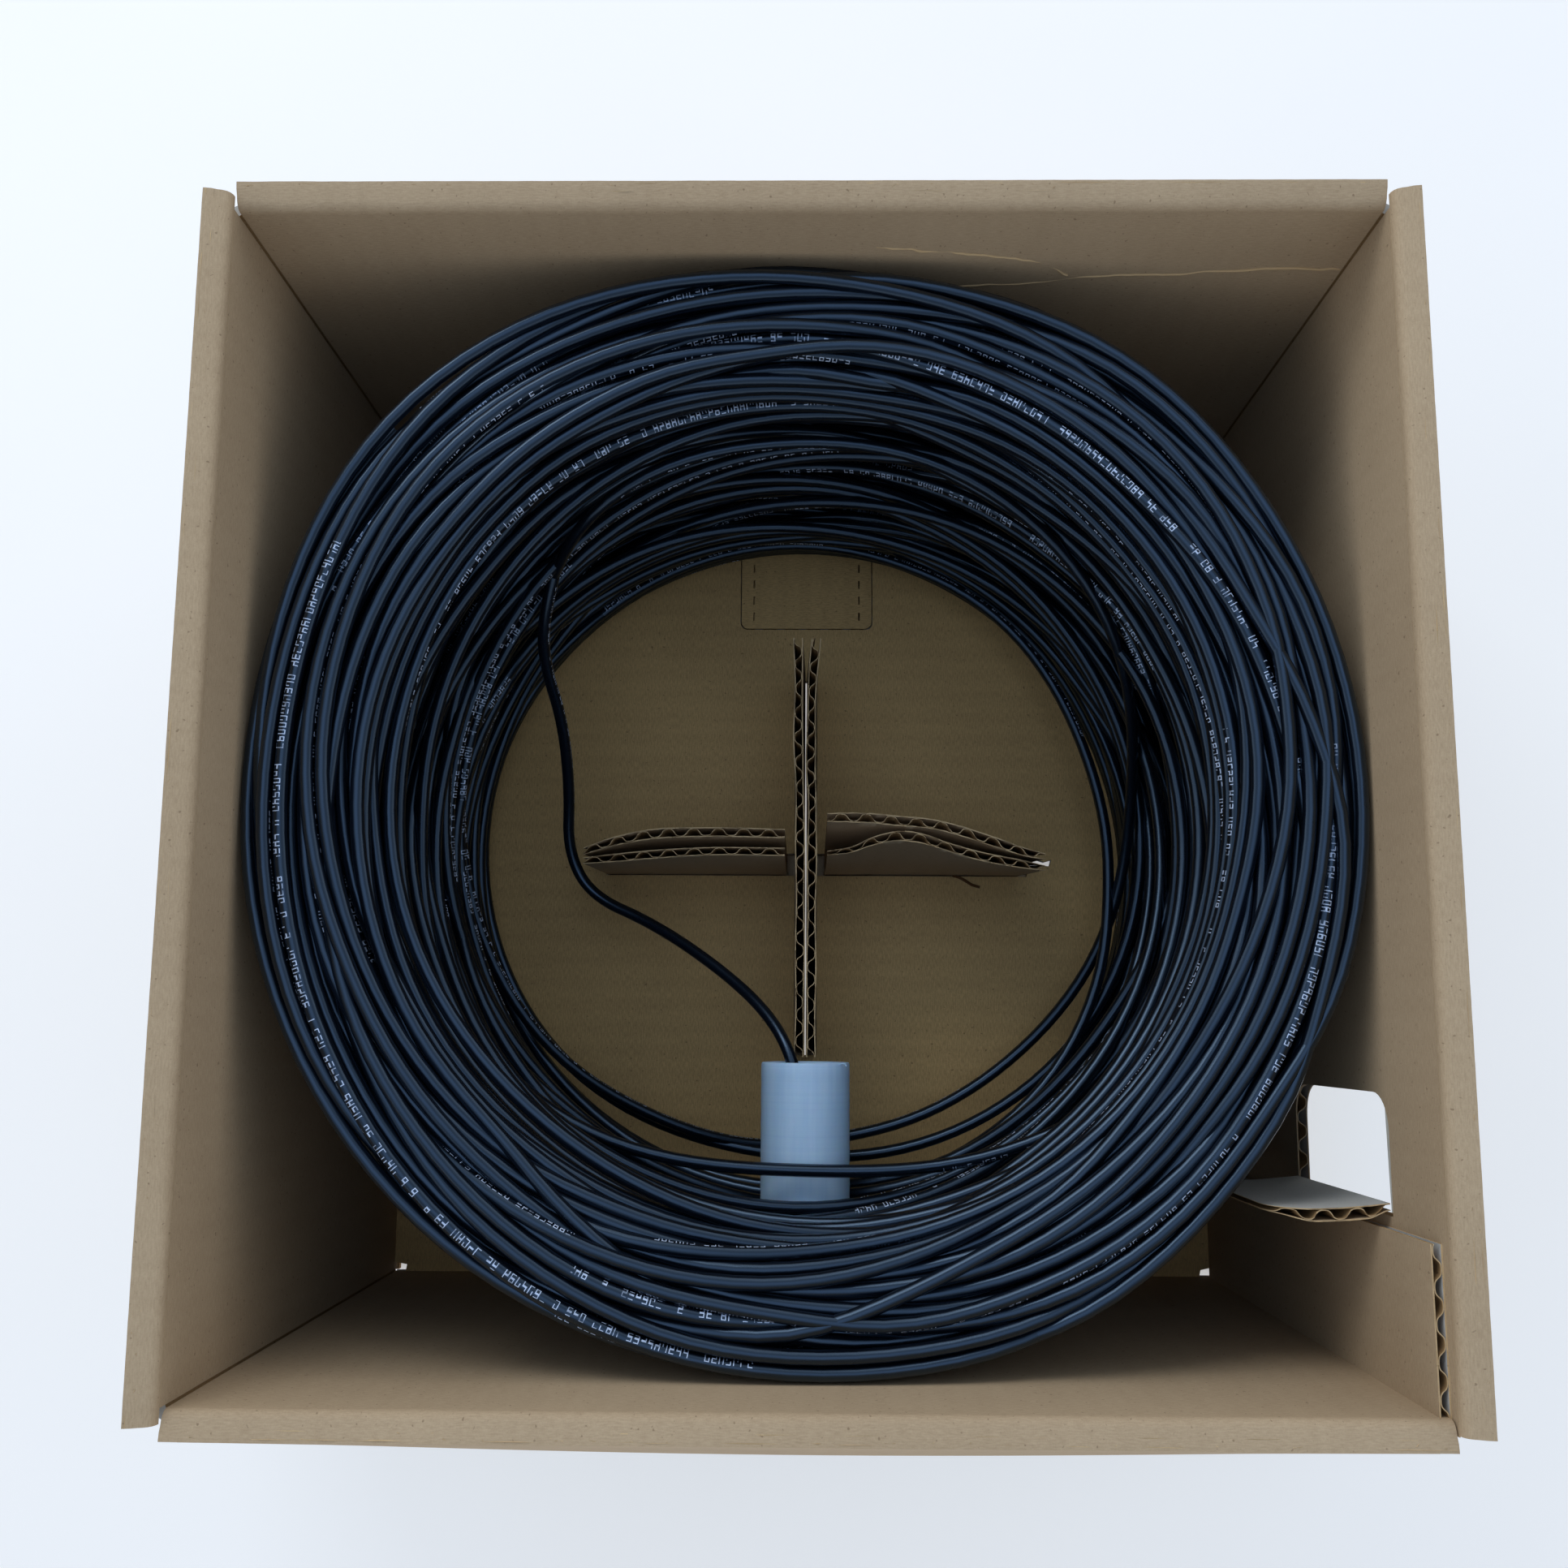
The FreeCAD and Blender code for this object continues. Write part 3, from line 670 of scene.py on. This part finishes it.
def build_ribs():
    """The upright cross in the core. The plies touch along their feet and bulge apart above."""
    height = RIB_TOP - BOARD
    for seed, (name, tops) in enumerate(LONG_TOPS.items(), start=11):
        low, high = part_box(name)
        foot = (low.x + high.x) / 2

        def place(p):
            y = low.y + p[:, 0]
            rise = np.maximum(p[:, 1], 0) / height
            top = curve_through(tops, y * 1000) / 1000
            crush = 1 - 0.12 * eased(rise, 0.9, 1.0) * (1 + np.sin(y * 190 + seed))
            x = foot + (top - foot) * rise**1.5 + (p[:, 2] - BOARD / 2) * crush
            return np.stack([x, y, BOARD + p[:, 1] + 0.0005 * np.sin(y * 60 + seed) * rise], -1)

        rib = corrugated(name, high.y - low.y, height, place, (KRAFT, KRAFT), 14, 70, seed, fray=0.00022)
        on_body(rib, "carton", name)
    for seed, (name, tops) in enumerate(SHORT_TOPS.items(), start=13):
        low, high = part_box(name)
        foot = (low.y + high.y) / 2
        middles = [knot[:2] for knot in tops]
        crushes = [knot[::2] for knot in tops]

        def place(p):
            x = low.x + p[:, 0]
            rise = np.maximum(p[:, 1], 0) / height
            top = curve_through(middles, x * 1000) / 1000
            crush = 1 - (1 - curve_through(crushes, x * 1000)) * eased(rise, 0.35, 1.0)
            y = foot + (top - foot) * rise**1.2 + (p[:, 2] - BOARD / 2) * crush
            end_drop = 0.0025 * eased(np.abs(x), 0.060, 0.076)
            wave = 0.0004 * np.sin(x * 80 + seed)
            return np.stack([x, y, BOARD + p[:, 1] + (wave - end_drop) * rise], -1)

        rib = corrugated(name, high.x - low.x, height, place, (KRAFT, KRAFT), 14, 60, seed, fray=0.00022)
        on_body(rib, "carton", name)


def hinge_frame(side):
    """A top flap's hinge line: a place on it, the ways along it and into the carton, its length."""
    joint = next(j for j in frame["joints"] if j["name"] == f"{side}_flap_crease")
    origin = Vector(joint["pos_m"])
    axis = Vector(joint["axis"])
    inward = axis.cross(Vector((0, 0, 1)))
    if inward.dot(origin) > 0:
        inward = -inward
    low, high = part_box(f"top_flap_{side}")
    return origin, -axis, inward, max(high.x - low.x, high.y - low.y)


def build_top_flaps():
    """The four flaps, crushed thin at the crease. Closed, the front and back ones warp down."""
    length = OUTER - SEAM
    for seed, side in enumerate(SIDES, start=20):
        origin, lateral, inward, width = hinge_frame(side)
        down = (inward * -math.sin(OPEN_ANGLE) + Vector((0, 0, -math.cos(OPEN_ANGLE)))).normalized()
        out = (inward * -math.cos(OPEN_ANGLE) + Vector((0, 0, math.sin(OPEN_ANGLE)))).normalized()
        start, u, v, w = (np.array(vector) for vector in (origin, lateral, down, out))
        warp = 0.0016 if side in ("front", "back") else -0.0016

        def place(p):
            crush = 0.62 + 0.38 * eased(p[:, 1], 0.0005, 0.0045)
            depth = (p[:, 2] - BOARD / 2) * crush + BOARD / 2
            curl = warp * (p[:, 1] / length) ** 2 * np.sin((p[:, 0] / width) * math.pi)
            return (start + np.outer(p[:, 0] - width / 2, u) + np.outer(p[:, 1], v)
                    + np.outer(depth + curl, w))

        flap = corrugated(f"top_flap_{side}", width, length, place, (WHITE, KRAFT), 14, 48, seed,
                          fray=0.00012)
        on_body(flap, f"{side}_flap", f"top_flap_{side}")


# Cross-section of the folded board over a rim: (outwards, upwards) in mm from the hinge line, and how far it
# ripples. The first eight points are its kraft side.
CREASE = ((-3.2, -3.4, 0), (-3.19, -2.4, 0.3), (-2.9, -1.5, 0.8), (-2.3, -0.8, 0.8), (-1.3, -0.28, 0.6),
          (-0.2, -0.02, 0.3), (1.3, 0.6, 0.6), (3.09, 0.83, 0.1), (0.1, 0.03, 0), (0, -0.1, 0), (0, -3.4, 0))


def build_creases():
    """The crushed board that runs over each rim, from the wall into the flap that hangs outside."""
    outline, bulge = np.array(CREASE)[:, :2] / 1000, np.array(CREASE)[:, 2]
    outward = outline / np.maximum(np.linalg.norm(outline, axis=1), 1e-6)[:, None]
    for seed, side in enumerate(SIDES, start=40):
        origin, lateral, inward, width = hinge_frame(side)
        rng = np.random.default_rng(seed)
        steps = int(width / 0.002)
        along = np.linspace(-width / 2, width / 2, steps + 1)
        flutes = 0.00016 * np.sin(2 * math.pi * along / FLUTE_PITCH + seed)
        ripple = flutes + 0.00012 * smooth_noise(rng, steps + 1, 2)
        section = outline[None] + ripple[:, None, None] * bulge[None, :, None] * outward[None]
        points = (np.array(origin) + along[:, None, None] * np.array(lateral)
                  - section[..., :1] * np.array(inward) + section[..., 1:] * np.array((0, 0, 1.0)))
        index, _, faces = ring_faces(steps + 1, len(outline))
        uvs = np.stack(np.broadcast_arrays(along[:, None], distances(outline)[None]), -1).reshape(-1, 2)
        liner = np.tile([0] * 7 + [1] * 3 + [0], steps)
        crease = new_piece(f"rim_crease_{side}", points, faces, [KRAFT, WHITE], liner,
                           "sheet", uvs)
        close_ends(crease, index[0], index[-1])
        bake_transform(crease)


def close_ends(piece, first, last):
    """Caps a swept piece with a face at each end."""
    maker = bmesh.new()
    maker.from_mesh(piece.data)
    maker.verts.ensure_lookup_table()
    maker.faces.new([maker.verts[i] for i in reversed(first)])
    maker.faces.new([maker.verts[i] for i in last])
    bmesh.ops.recalc_face_normals(maker, faces=maker.faces)
    maker.to_mesh(piece.data)
    maker.free()


def build_hand_flap():
    """The hand hole's flap, folded in. Its white outside faces the back, its flutes run upwards."""
    low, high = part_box("hand_hole_flap")
    width, half = high.x - low.x, (high.z - low.z) / 2

    def place(p):
        reach = p[:, 0] / width
        crush = 1 - 0.45 * eased(-reach, -0.2, 0) - 0.55 * eased(reach, 0.62, 1.0)
        sag = 0.0012 * reach**2 + 0.0009 * np.sin(math.pi * reach)
        past = np.clip(CORNER_RADIUS - width + p[:, 0], 0, CORNER_RADIUS)
        inset = CORNER_RADIUS - np.sqrt(CORNER_RADIUS**2 - past**2)
        height = low.z + half + (p[:, 1] - half) * (1 - inset / half)
        return np.stack([high.x - p[:, 0], high.y - (BOARD - p[:, 2]) * crush - sag, height], -1)

    flap = corrugated("hand_hole_flap", width, 2 * half, place, (KRAFT, WHITE), 12, 40, 30, fray=0.0001)
    on_body(flap, "hand_flap", "hand_hole_flap")


# ---- payout tube
def lathe(name, profile, origin, axis, steps, material):
    """A solid of revolution. profile has (radius, distance along the axis) pairs, closed."""
    axis = Vector(axis).normalized()
    side = axis.orthogonal().normalized()
    other = axis.cross(side)
    points, faces = [], []
    count = len(profile)
    for step in range(steps):
        angle = 2 * math.pi * step / steps
        radial = side * math.cos(angle) + other * math.sin(angle)
        points += [tuple(Vector(origin) + radial * radius + axis * distance) for radius, distance in profile]
        here, following = step * count, (step + 1) % steps * count
        for i in range(count):
            j = (i + 1) % count
            faces.append((here + i, here + j, following + j, following + i))
    return new_piece(name, points, faces, [material])


def build_tube():
    """The white tube: a flange outside, a turned barrel and rounded lips, with a burr at its inner end."""
    length = TUBE_HIGH.y - TUBE_LOW.y
    flange = (TUBE_HIGH.z - TUBE_LOW.z) / 2
    thick, lip, edge = 0.0025, 0.0005, 0.0002
    barrel = TUBE_RADIUS - 0.00005
    face = thick - 0.00005
    barrel_start = thick + 0.0003
    profile = [(BORE_RADIUS, lip)]
    profile += [(BORE_RADIUS + lip * (1 - math.cos(a)), lip * (1 - math.sin(a))) for a in (0.5, 1.0, 1.5)]
    profile += [(flange - lip, 0.0), (flange - 0.2 * lip, 0.2 * lip), (flange, lip), (flange, thick - edge),
                (flange - edge, face), (TUBE_RADIUS + 0.0004, face), (barrel, barrel_start)]
    rings = 26
    for ring in range(1, rings):
        distance = barrel_start + (length - lip - barrel_start) * ring / rings
        profile.append((barrel + 0.00004 * math.sin(ring * 2.3), distance))
    profile += [(TUBE_RADIUS - 0.0001, length - lip), (TUBE_RADIUS - 0.0003, length - 0.0001),
                (TUBE_RADIUS - 0.0006, length), (BORE_RADIUS + lip, length),
                (BORE_RADIUS + 0.0001, length - edge), (BORE_RADIUS, length - lip)]
    tube = lathe("payout_tube", profile, (0, TUBE_LOW.y, TUBE_AXIS_Z), (0, 1, 0), 96, POLYTHENE)
    on_body(tube, "tube", "payout_tube")
    angle = math.radians(38)
    rim = np.array((TUBE_RADIUS * math.cos(angle), TUBE_HIGH.y - 0.0004,
                    TUBE_AXIS_Z + TUBE_RADIUS * math.sin(angle)))
    curl = np.array([(-0.5, 0, 0), (0.5, 0.2, 0.3), (1.2, 0.1, 0.7), (1.5, -0.6, 0.9)]) / 1000
    burr = tube_along("payout_tube_burr", rim + curl, 0.00016, 6, [POLYTHENE])
    on_body(burr, "tube")


# ---- cable
def frames_along(line):
    """A tangent and a slowly turning normal at every point of a line."""
    tangents = unit(np.gradient(line, axis=0))
    normal = np.cross(tangents[0], (0.3, 0.2, 0.9))
    normals = []
    for tangent in tangents:
        normal = normal - tangent * np.dot(normal, tangent)
        normal /= np.linalg.norm(normal)
        normals.append(normal)
    return tangents, np.array(normals)


def tube_along(name, line, radius, sides, materials, frames=None, start=0.0, ends=True,
               uv_name="strand"):
    """A round tube along a line. Its UV map has metres along it, and the share of a turn."""
    tangents, normals = frames or frames_along(line)
    others = np.cross(tangents, normals)
    angles = 2 * math.pi * np.arange(sides) / sides
    rings = (line[:, None, :] + radius * (np.cos(angles)[None, :, None] * normals[:, None, :]
                                          + np.sin(angles)[None, :, None] * others[:, None, :]))
    points = rings.reshape(-1, 3)
    index, following, faces = ring_faces(len(line), sides)
    u = np.tile(start + distances(line)[:, None], sides)
    v = np.tile(np.arange(sides) / sides, (len(line), 1))
    corner_u = np.stack([u[:-1], u[:-1], u[1:], u[1:]], -1)
    corner_v = np.stack([v[:-1], v[:-1] + 1 / sides, v[1:] + 1 / sides, v[1:]], -1)
    uvs = np.stack([corner_u, corner_v], -1).reshape(-1, 2)
    caps = None
    if ends:
        centres = len(points) + np.arange(2)
        first = np.stack([following[0], index[0], np.full(sides, centres[0])], -1)
        last = np.stack([index[-1], following[-1], np.full(sides, centres[1])], -1)
        caps = np.concatenate([first, last])
        points = np.concatenate([points, line[[0, -1]]])
        uvs = np.concatenate([uvs, np.full((caps.size, 2), 0.9)])
    return new_piece(name, points, faces, materials, None, uv_name, uvs, caps)


LEAD_ROUTE = [
    (-0.0755, 0.0755, 0.1030),
    (-0.0795, 0.0650, 0.0960),
    (-0.0810, 0.0540, 0.0840),
    (-0.0775, 0.0390, 0.0670),
    (-0.0775, 0.0200, 0.0495),
    (-0.0790, 0.0005, 0.0410),
    (-0.0715, -0.0140, 0.0375),
    (-0.0500, -0.0235, 0.0420),
    (-0.0280, -0.0380, 0.0540),
    (-0.0115, -0.0525, 0.0675),
    (-0.0032, -0.0672, 0.0765),
    (-0.0005, -0.0880, 0.0770),
    (0.0008, -0.1110, 0.0746),
    (-0.0003, -0.1370, 0.0742),
    (0.0006, -0.1620, 0.0738),
]


def spline_points(route):
    """Points along the smooth curve whose control points are the route's."""
    curve = bpy.data.curves.new("lead_line", "CURVE")
    curve.dimensions = "3D"
    curve.resolution_u = 14
    spline = curve.splines.new("NURBS")
    spline.points.add(len(route) - 1)
    for point, place in zip(spline.points, route):
        point.co = (*place, 1.0)
    spline.order_u = 3
    spline.use_endpoint_u = True
    holder = linked(bpy.data.objects.new("lead_line", curve))
    bpy.context.view_layer.update()
    mesh = bpy.data.meshes.new_from_object(holder.evaluated_get(bpy.context.evaluated_depsgraph_get()))
    line = np.array([tuple(v.co) for v in mesh.vertices])
    bpy.data.objects.remove(holder)
    bpy.data.curves.remove(curve)
    bpy.data.meshes.remove(mesh)
    keep = np.concatenate([[True], np.linalg.norm(np.diff(line, axis=0), axis=1) > 1e-6])
    return line[keep]


def build_lead():
    """The cable's free end, from inside the coil through the tube."""
    line = spline_points(LEAD_ROUTE)
    lead = tube_along("cable_lead", line, CABLE_RADIUS, 16, [JACKET], start=0.52)
    on_body(lead, "carton", "cable_lead")
    core = build_cut_end(Vector(line[-1]), Vector(line[-1] - line[-2]).normalized())


def build_cut_end(tip, ahead):
    """The cut face of the cable: foil screen, two insulated cores and their copper."""
    side = ahead.orthogonal().normalized()
    pieces = []

    def disc(name, centre, radius, length, material):
        middle = 0.00001
        profile = [(middle, 0.0), (radius, 0.0), (radius, length), (middle, length)]
        piece = lathe(name, profile, centre, ahead, 20, material)
        on_body(piece, "carton")
        pieces.append(piece)

    disc("lead_foil", tip - ahead * 0.0002, 0.00118, 0.00035, FOIL)
    for name, offset, material in (("red", 0.00056, RED_CORE), ("black", -0.00056, BLACK_CORE)):
        centre = tip + side * offset
        disc(f"lead_core_{name}", centre - ahead * 0.0001, 0.00050, 0.00045, material)
        disc(f"lead_copper_{name}", centre, 0.00026, 0.00048, COPPER)
    return pieces


# ---- the wound coil
TURNS = 204
STATIONS = 108
COIL_INNER = 0.1077
COIL_OUTER = 0.1376
COIL_LOW = 0.0087
COIL_HIGH = 0.1696
START_ANGLE = math.radians(135)
TUBE_ANGLE = math.radians(270)
TUBE_WINDOW = 0.55

# The first turn, which the lead runs into, hangs clear of the core and passes under the tube:
# (degrees clockwise from the lead's exit, radius mm, height mm).
FIRST_TURN = ((0, 107, 103), (6, 107.3, 119), (14, 107, 127), (41, 106, 131), (71, 107, 127),
              (104, 107.5, 100), (130, 103.5, 58), (145, 101.8, 45), (156, 100, 39), (167, 97.6, 34),
              (178, 95.5, 31), (190, 94.1, 30), (203, 93.4, 30), (218, 93.2, 30), (235, 96.5, 30),
              (247, 97.6, 34), (257, 98.8, 38), (272, 102, 47), (340, 107, 72), (430, 109, 105))
# Other inner turns that sag: (turn, reach along the turn, depth mm, height mm where it is forced).
SAGGING = ((1.66, 0.09, 5, None), (2.32, 0.08, 5.5, None), (3.72, 0.11, 5, None), (5.15, 0.10, 4.5, None),
           (6.53, 0.09, 6, None), (8.625, 0.11, 17, 98.6), (10.9, 0.10, 7, None), (12.45, 0.09, 8, None))


def smooth_noise(rng, count, width):
    """Random values with unit spread that wander smoothly over about width samples."""
    reach = int(3 * width)
    kernel = np.exp(-0.5 * (np.arange(-reach, reach + 1) / width) ** 2)
    values = np.convolve(rng.normal(0, 1, count + 2 * reach), kernel, "valid")
    return values / np.std(values)


def coil_lean(angle):
    """How far the coil's top rises above its mean level: the coil stands a little crooked."""
    return 0.0045 * np.cos(angle - math.radians(150))


def coil_top(radius, angle):
    """Highest place that a strand's centre may take: the coil's shoulders are rounded."""
    outside = np.clip((radius - 0.128) / 0.0093, 0, 1)
    inside = np.clip((0.1195 - radius) / 0.0118, 0, 1)
    return COIL_HIGH + coil_lean(angle) - 0.0012 * outside**2.2 - 0.014 * inside**2


def coil_core(height, angle):
    """Smallest radius of a wound strand: the core is wider near the floor, less so at the right."""
    near_floor = np.clip((0.050 - height) / 0.042, 0, 1)
    near_top = np.clip((height - 0.135) / 0.035, 0, 1)
    bay = 1 - 0.55 * np.cos((angle - math.radians(15)) / 2) ** 8
    return COIL_INNER + 0.0080 * bay * near_floor**1.5 + 0.0045 * near_top**1.6


def first_winding(rng, angle):
    """Radius and height of every strand at every station, before the strands push each other apart."""
    count = TURNS * STATIONS
    turn = np.arange(count) / STATIONS
    layer = COIL_INNER + 0.002 + (COIL_OUTER - COIL_INNER - 0.003) * (turn / TURNS)
    radius = layer + 0.0060 * smooth_noise(rng, count, 0.15 * STATIONS)
    middle, reach = (COIL_LOW + COIL_HIGH) / 2, (COIL_HIGH - COIL_LOW) / 2
    phase = 2 * math.pi * 0.2704 * turn + 0.9
    short_of_end = np.abs(smooth_noise(rng, count, 2.0 * STATIONS))
    height = middle + reach * (1.02 - 0.07 * short_of_end) * np.sin(phase + 0.15 * short_of_end)
    height = height + 0.0030 * smooth_noise(rng, count, 0.14 * STATIONS)
    return radius, np.clip(height, COIL_LOW, coil_top(radius, angle))


def loosen(radius, height):
    """Draws the loose turns out of the winding. Also gives how firmly each station is held in place."""
    turn = np.arange(len(radius)) / STATIONS
    last = FIRST_TURN[-1][0]
    hold = 1 - eased(turn * 360, 290, last)
    stations = slice(0, int(last / 360 * STATIONS))
    degrees, radii, heights = np.array(FIRST_TURN, float).T
    at, weight = turn[stations] * 360, hold[stations]
    for values, knots in ((radius, radii), (height, heights)):
        values[stations] += (curve_through(list(zip(degrees, knots)), at) / 1000 - values[stations]) * weight
    for centre, reach, depth, level in SAGGING:
        weight = np.exp(-(((turn - centre) / reach) ** 2))
        radius -= depth / 1000 * weight
        if level is not None:
            height += (level / 1000 - height) * np.exp(-(((turn - centre) / (1.6 * reach)) ** 4))
        hold = np.maximum(hold, weight)
    return radius, height, hold


def settle(radius, height, angle, hold, rounds):
    """Pushes overlapping strands apart station by station, and keeps each strand smooth along itself."""
    gap = 2 * CABLE_RADIUS + 0.00006
    longest_move = 0.0008
    start_r, start_z = radius.copy(), height.copy()
    count = len(radius)
    free = 1 - hold
    away = (angle - TUBE_ANGLE + math.pi) % (2 * math.pi) - math.pi
    near_tube = np.abs(away) < TUBE_WINDOW
    window = np.cos(np.clip(away / TUBE_WINDOW, -1, 1) * math.pi / 2) ** 2
    room = (TUBE_RADIUS + CABLE_RADIUS + 0.0005) * window
    room = np.where(near_tube, room, 0)
    closest = np.argmin(np.abs(away[:STATIONS]))
    above = np.repeat(height.reshape(TURNS, STATIONS)[:, closest] >= TUBE_AXIS_Z, STATIONS)
    for step in range(rounds):
        if step % 8 == 0:
            r, z = radius.reshape(TURNS, STATIONS), height.reshape(TURNS, STATIONS)
            found = [near_pairs(r[:, s], z[:, s], 1.9 * gap) for s in range(STATIONS)]
            first = np.concatenate([a * STATIONS + s for s, (a, b) in enumerate(found)])
            second = np.concatenate([b * STATIONS + s for s, (a, b) in enumerate(found)])
        dr = radius[first] - radius[second]
        dz = height[first] - height[second]
        distance = np.sqrt(dr * dr + dz * dz) + 1e-9
        push = np.clip(gap - distance, 0, None) * 0.45 / distance
        times = 2 if step < rounds - 8 else 1
        moved = []
        for values, start, apart in ((radius, start_r, dr), (height, start_z, dz)):
            move = np.bincount(first, push * apart, count) - np.bincount(second, push * apart, count)
            move = np.clip(move, -longest_move, longest_move) * free
            moved.append(start + smoothed(values + move - start, times))
        radius, height = moved
        core = coil_core(height, angle) - 0.018 * np.sqrt(hold)
        radius = np.clip(radius, core, COIL_OUTER)
        height = np.clip(height, COIL_LOW, coil_top(radius, angle))
        if step == rounds - 1:
            radius, height = smoothed(radius, 3), smoothed(height, 3)
        offset = height - TUBE_AXIS_Z
        clear = np.where(above, np.maximum(offset, room), np.minimum(offset, -room))
        height = np.where(near_tube, TUBE_AXIS_Z + clear, height)
    return radius, height


def corner_bulge(radius, angle):
    """The coil's outer strands spread towards three of the carton's corners, where there is room."""
    degrees = np.degrees(angle) % 360
    spread = 0.0
    for bulge, corner, width in ((0.0048, 137, 27), (0.0026, 297, 17), (0.0024, 56, 17)):
        spread = spread + bulge * np.exp(-(((degrees - corner) / width) ** 2))
    return radius + spread * eased(radius, 0.112, 0.1373)


def near_pairs(r, z, reach):
    """Pairs of strands closer than reach at one station."""
    order = np.argsort(z, kind="stable")
    sorted_z = z[order]
    count = len(z)
    last = np.searchsorted(sorted_z, sorted_z + reach)
    spans = last - np.arange(count) - 1
    first = np.repeat(np.arange(count), spans)
    if len(first) == 0:
        return np.zeros(0, int), np.zeros(0, int)
    starts = np.cumsum(spans) - spans
    second = np.arange(len(first)) - np.repeat(starts, spans) + first + 1
    a, b = order[first], order[second]
    close = np.abs(r[a] - r[b]) < reach
    return a[close], b[close]


def smoothed(values, times):
    for _ in range(times):
        middle = 0.5 * values[1:-1] + 0.25 * (values[:-2] + values[2:])
        values = np.concatenate([values[:1], middle, values[-1:]])
    return values


def build_winding():
    """The wound cable, as one line of strands drawn as a few long tubes that meet end to end."""
    rng = np.random.default_rng(17)
    step_angle = 2 * math.pi / STATIONS
    angle = START_ANGLE - step_angle * np.arange(TURNS * STATIONS)
    radius, height = first_winding(rng, angle)
    radius, height, hold = loosen(radius, height)
    radius, height = settle(radius, height, angle, hold, 220)
    radius = corner_bulge(radius, angle)
    line = np.stack([radius * np.cos(angle), radius * np.sin(angle), height], -1)
    tangents = unit(np.gradient(line, axis=0))
    outward = np.stack([np.cos(angle), np.sin(angle), np.zeros(len(angle))], -1)
    normals = unit(outward - tangents * np.sum(outward * tangents, axis=1)[:, None])
    lengths = distances(line)
    print(f"wound cable: {lengths[-1]:.1f} m in {TURNS} turns")
    groups = 6
    share = len(line) // groups
    for group in range(groups):
        begin = group * share
        end = len(line) if group == groups - 1 else (group + 1) * share + 1
        piece = tube_along(f"cable_winding_{group + 1}", line[begin:end], CABLE_RADIUS, 8, [JACKET],
                           (tangents[begin:end], normals[begin:end]), start=lengths[begin],
                           ends=group in (0, groups - 1))
        on_body(piece, "carton", *(["cable_winding"] if group == 0 else []))


# ---- studio
def area_light(name, place, target, size, power, colour):
    data = bpy.data.lights.new(name, "AREA")
    data.shape = "RECTANGLE"
    data.size, data.size_y = size
    data.energy = power
    data.color = colour
    lamp = linked(bpy.data.objects.new(name, data))
    lamp.location = place
    lamp.rotation_euler = (Vector(target) - Vector(place)).to_track_quat("-Z", "Y").to_euler()


def build_studio():
    """A pale floor that glows faintly, as painted light, under a cool sky, brighter at the horizon, straight
    above and towards the back.
    """
    bpy.ops.mesh.primitive_plane_add(size=8.0, location=(0, 0, 0))
    ground = bpy.context.object
    ground.name = "studio_floor"
    ground.data.materials.append(glowing_floor_material())
    scene = bpy.context.scene
    scene.world = bpy.data.worlds.new("studio")
    sky = Nodes(scene.world)
    direction = sky.add("TexCoord").outputs["Generated"]
    up = sky.add("SeparateXYZ", {0: direction}).outputs[2]
    window_side = (-0.30, 0.95, 0.0)
    towards = sky.add("VectorMath", {0: direction, 1: window_side}, operation="DOT_PRODUCT").outputs[1]
    low_sky = sky.mapped(up, 0.70, 0.30, smooth=True)
    overhead = sky.mapped(up, 0.88, 0.97, smooth=True)
    colour = sky.mix(low_sky, (0.36, 0.44, 0.55, 1), (0.92, 0.97, 1.05, 1))
    colour = sky.mix(overhead, colour, (0.72, 0.92, 1.25, 1))
    strength = sky.mapped(towards, -0.5, 0.5, 0.84, 1.16, smooth=True)
    sky.feed(sky.tree.nodes["Background"], {"Color": colour, "Strength": strength})
    area_light("window", (-0.40, 0.90, 0.85), (0.03, -0.05, 0.12), (0.7, 0.5), 3.6, (0.90, 0.95, 1.0))
    scene.view_settings.view_transform = "Standard"
    scene.view_settings.look = "None"


add_camera()
build_lead()
build_winding()
build_walls()
build_folds()
build_blemishes()
build_glue_tab()
build_base()
build_ribs()
build_top_flaps()
build_creases()
build_hand_flap()
build_tube()
build_studio()

bpy.context.view_layer.update()
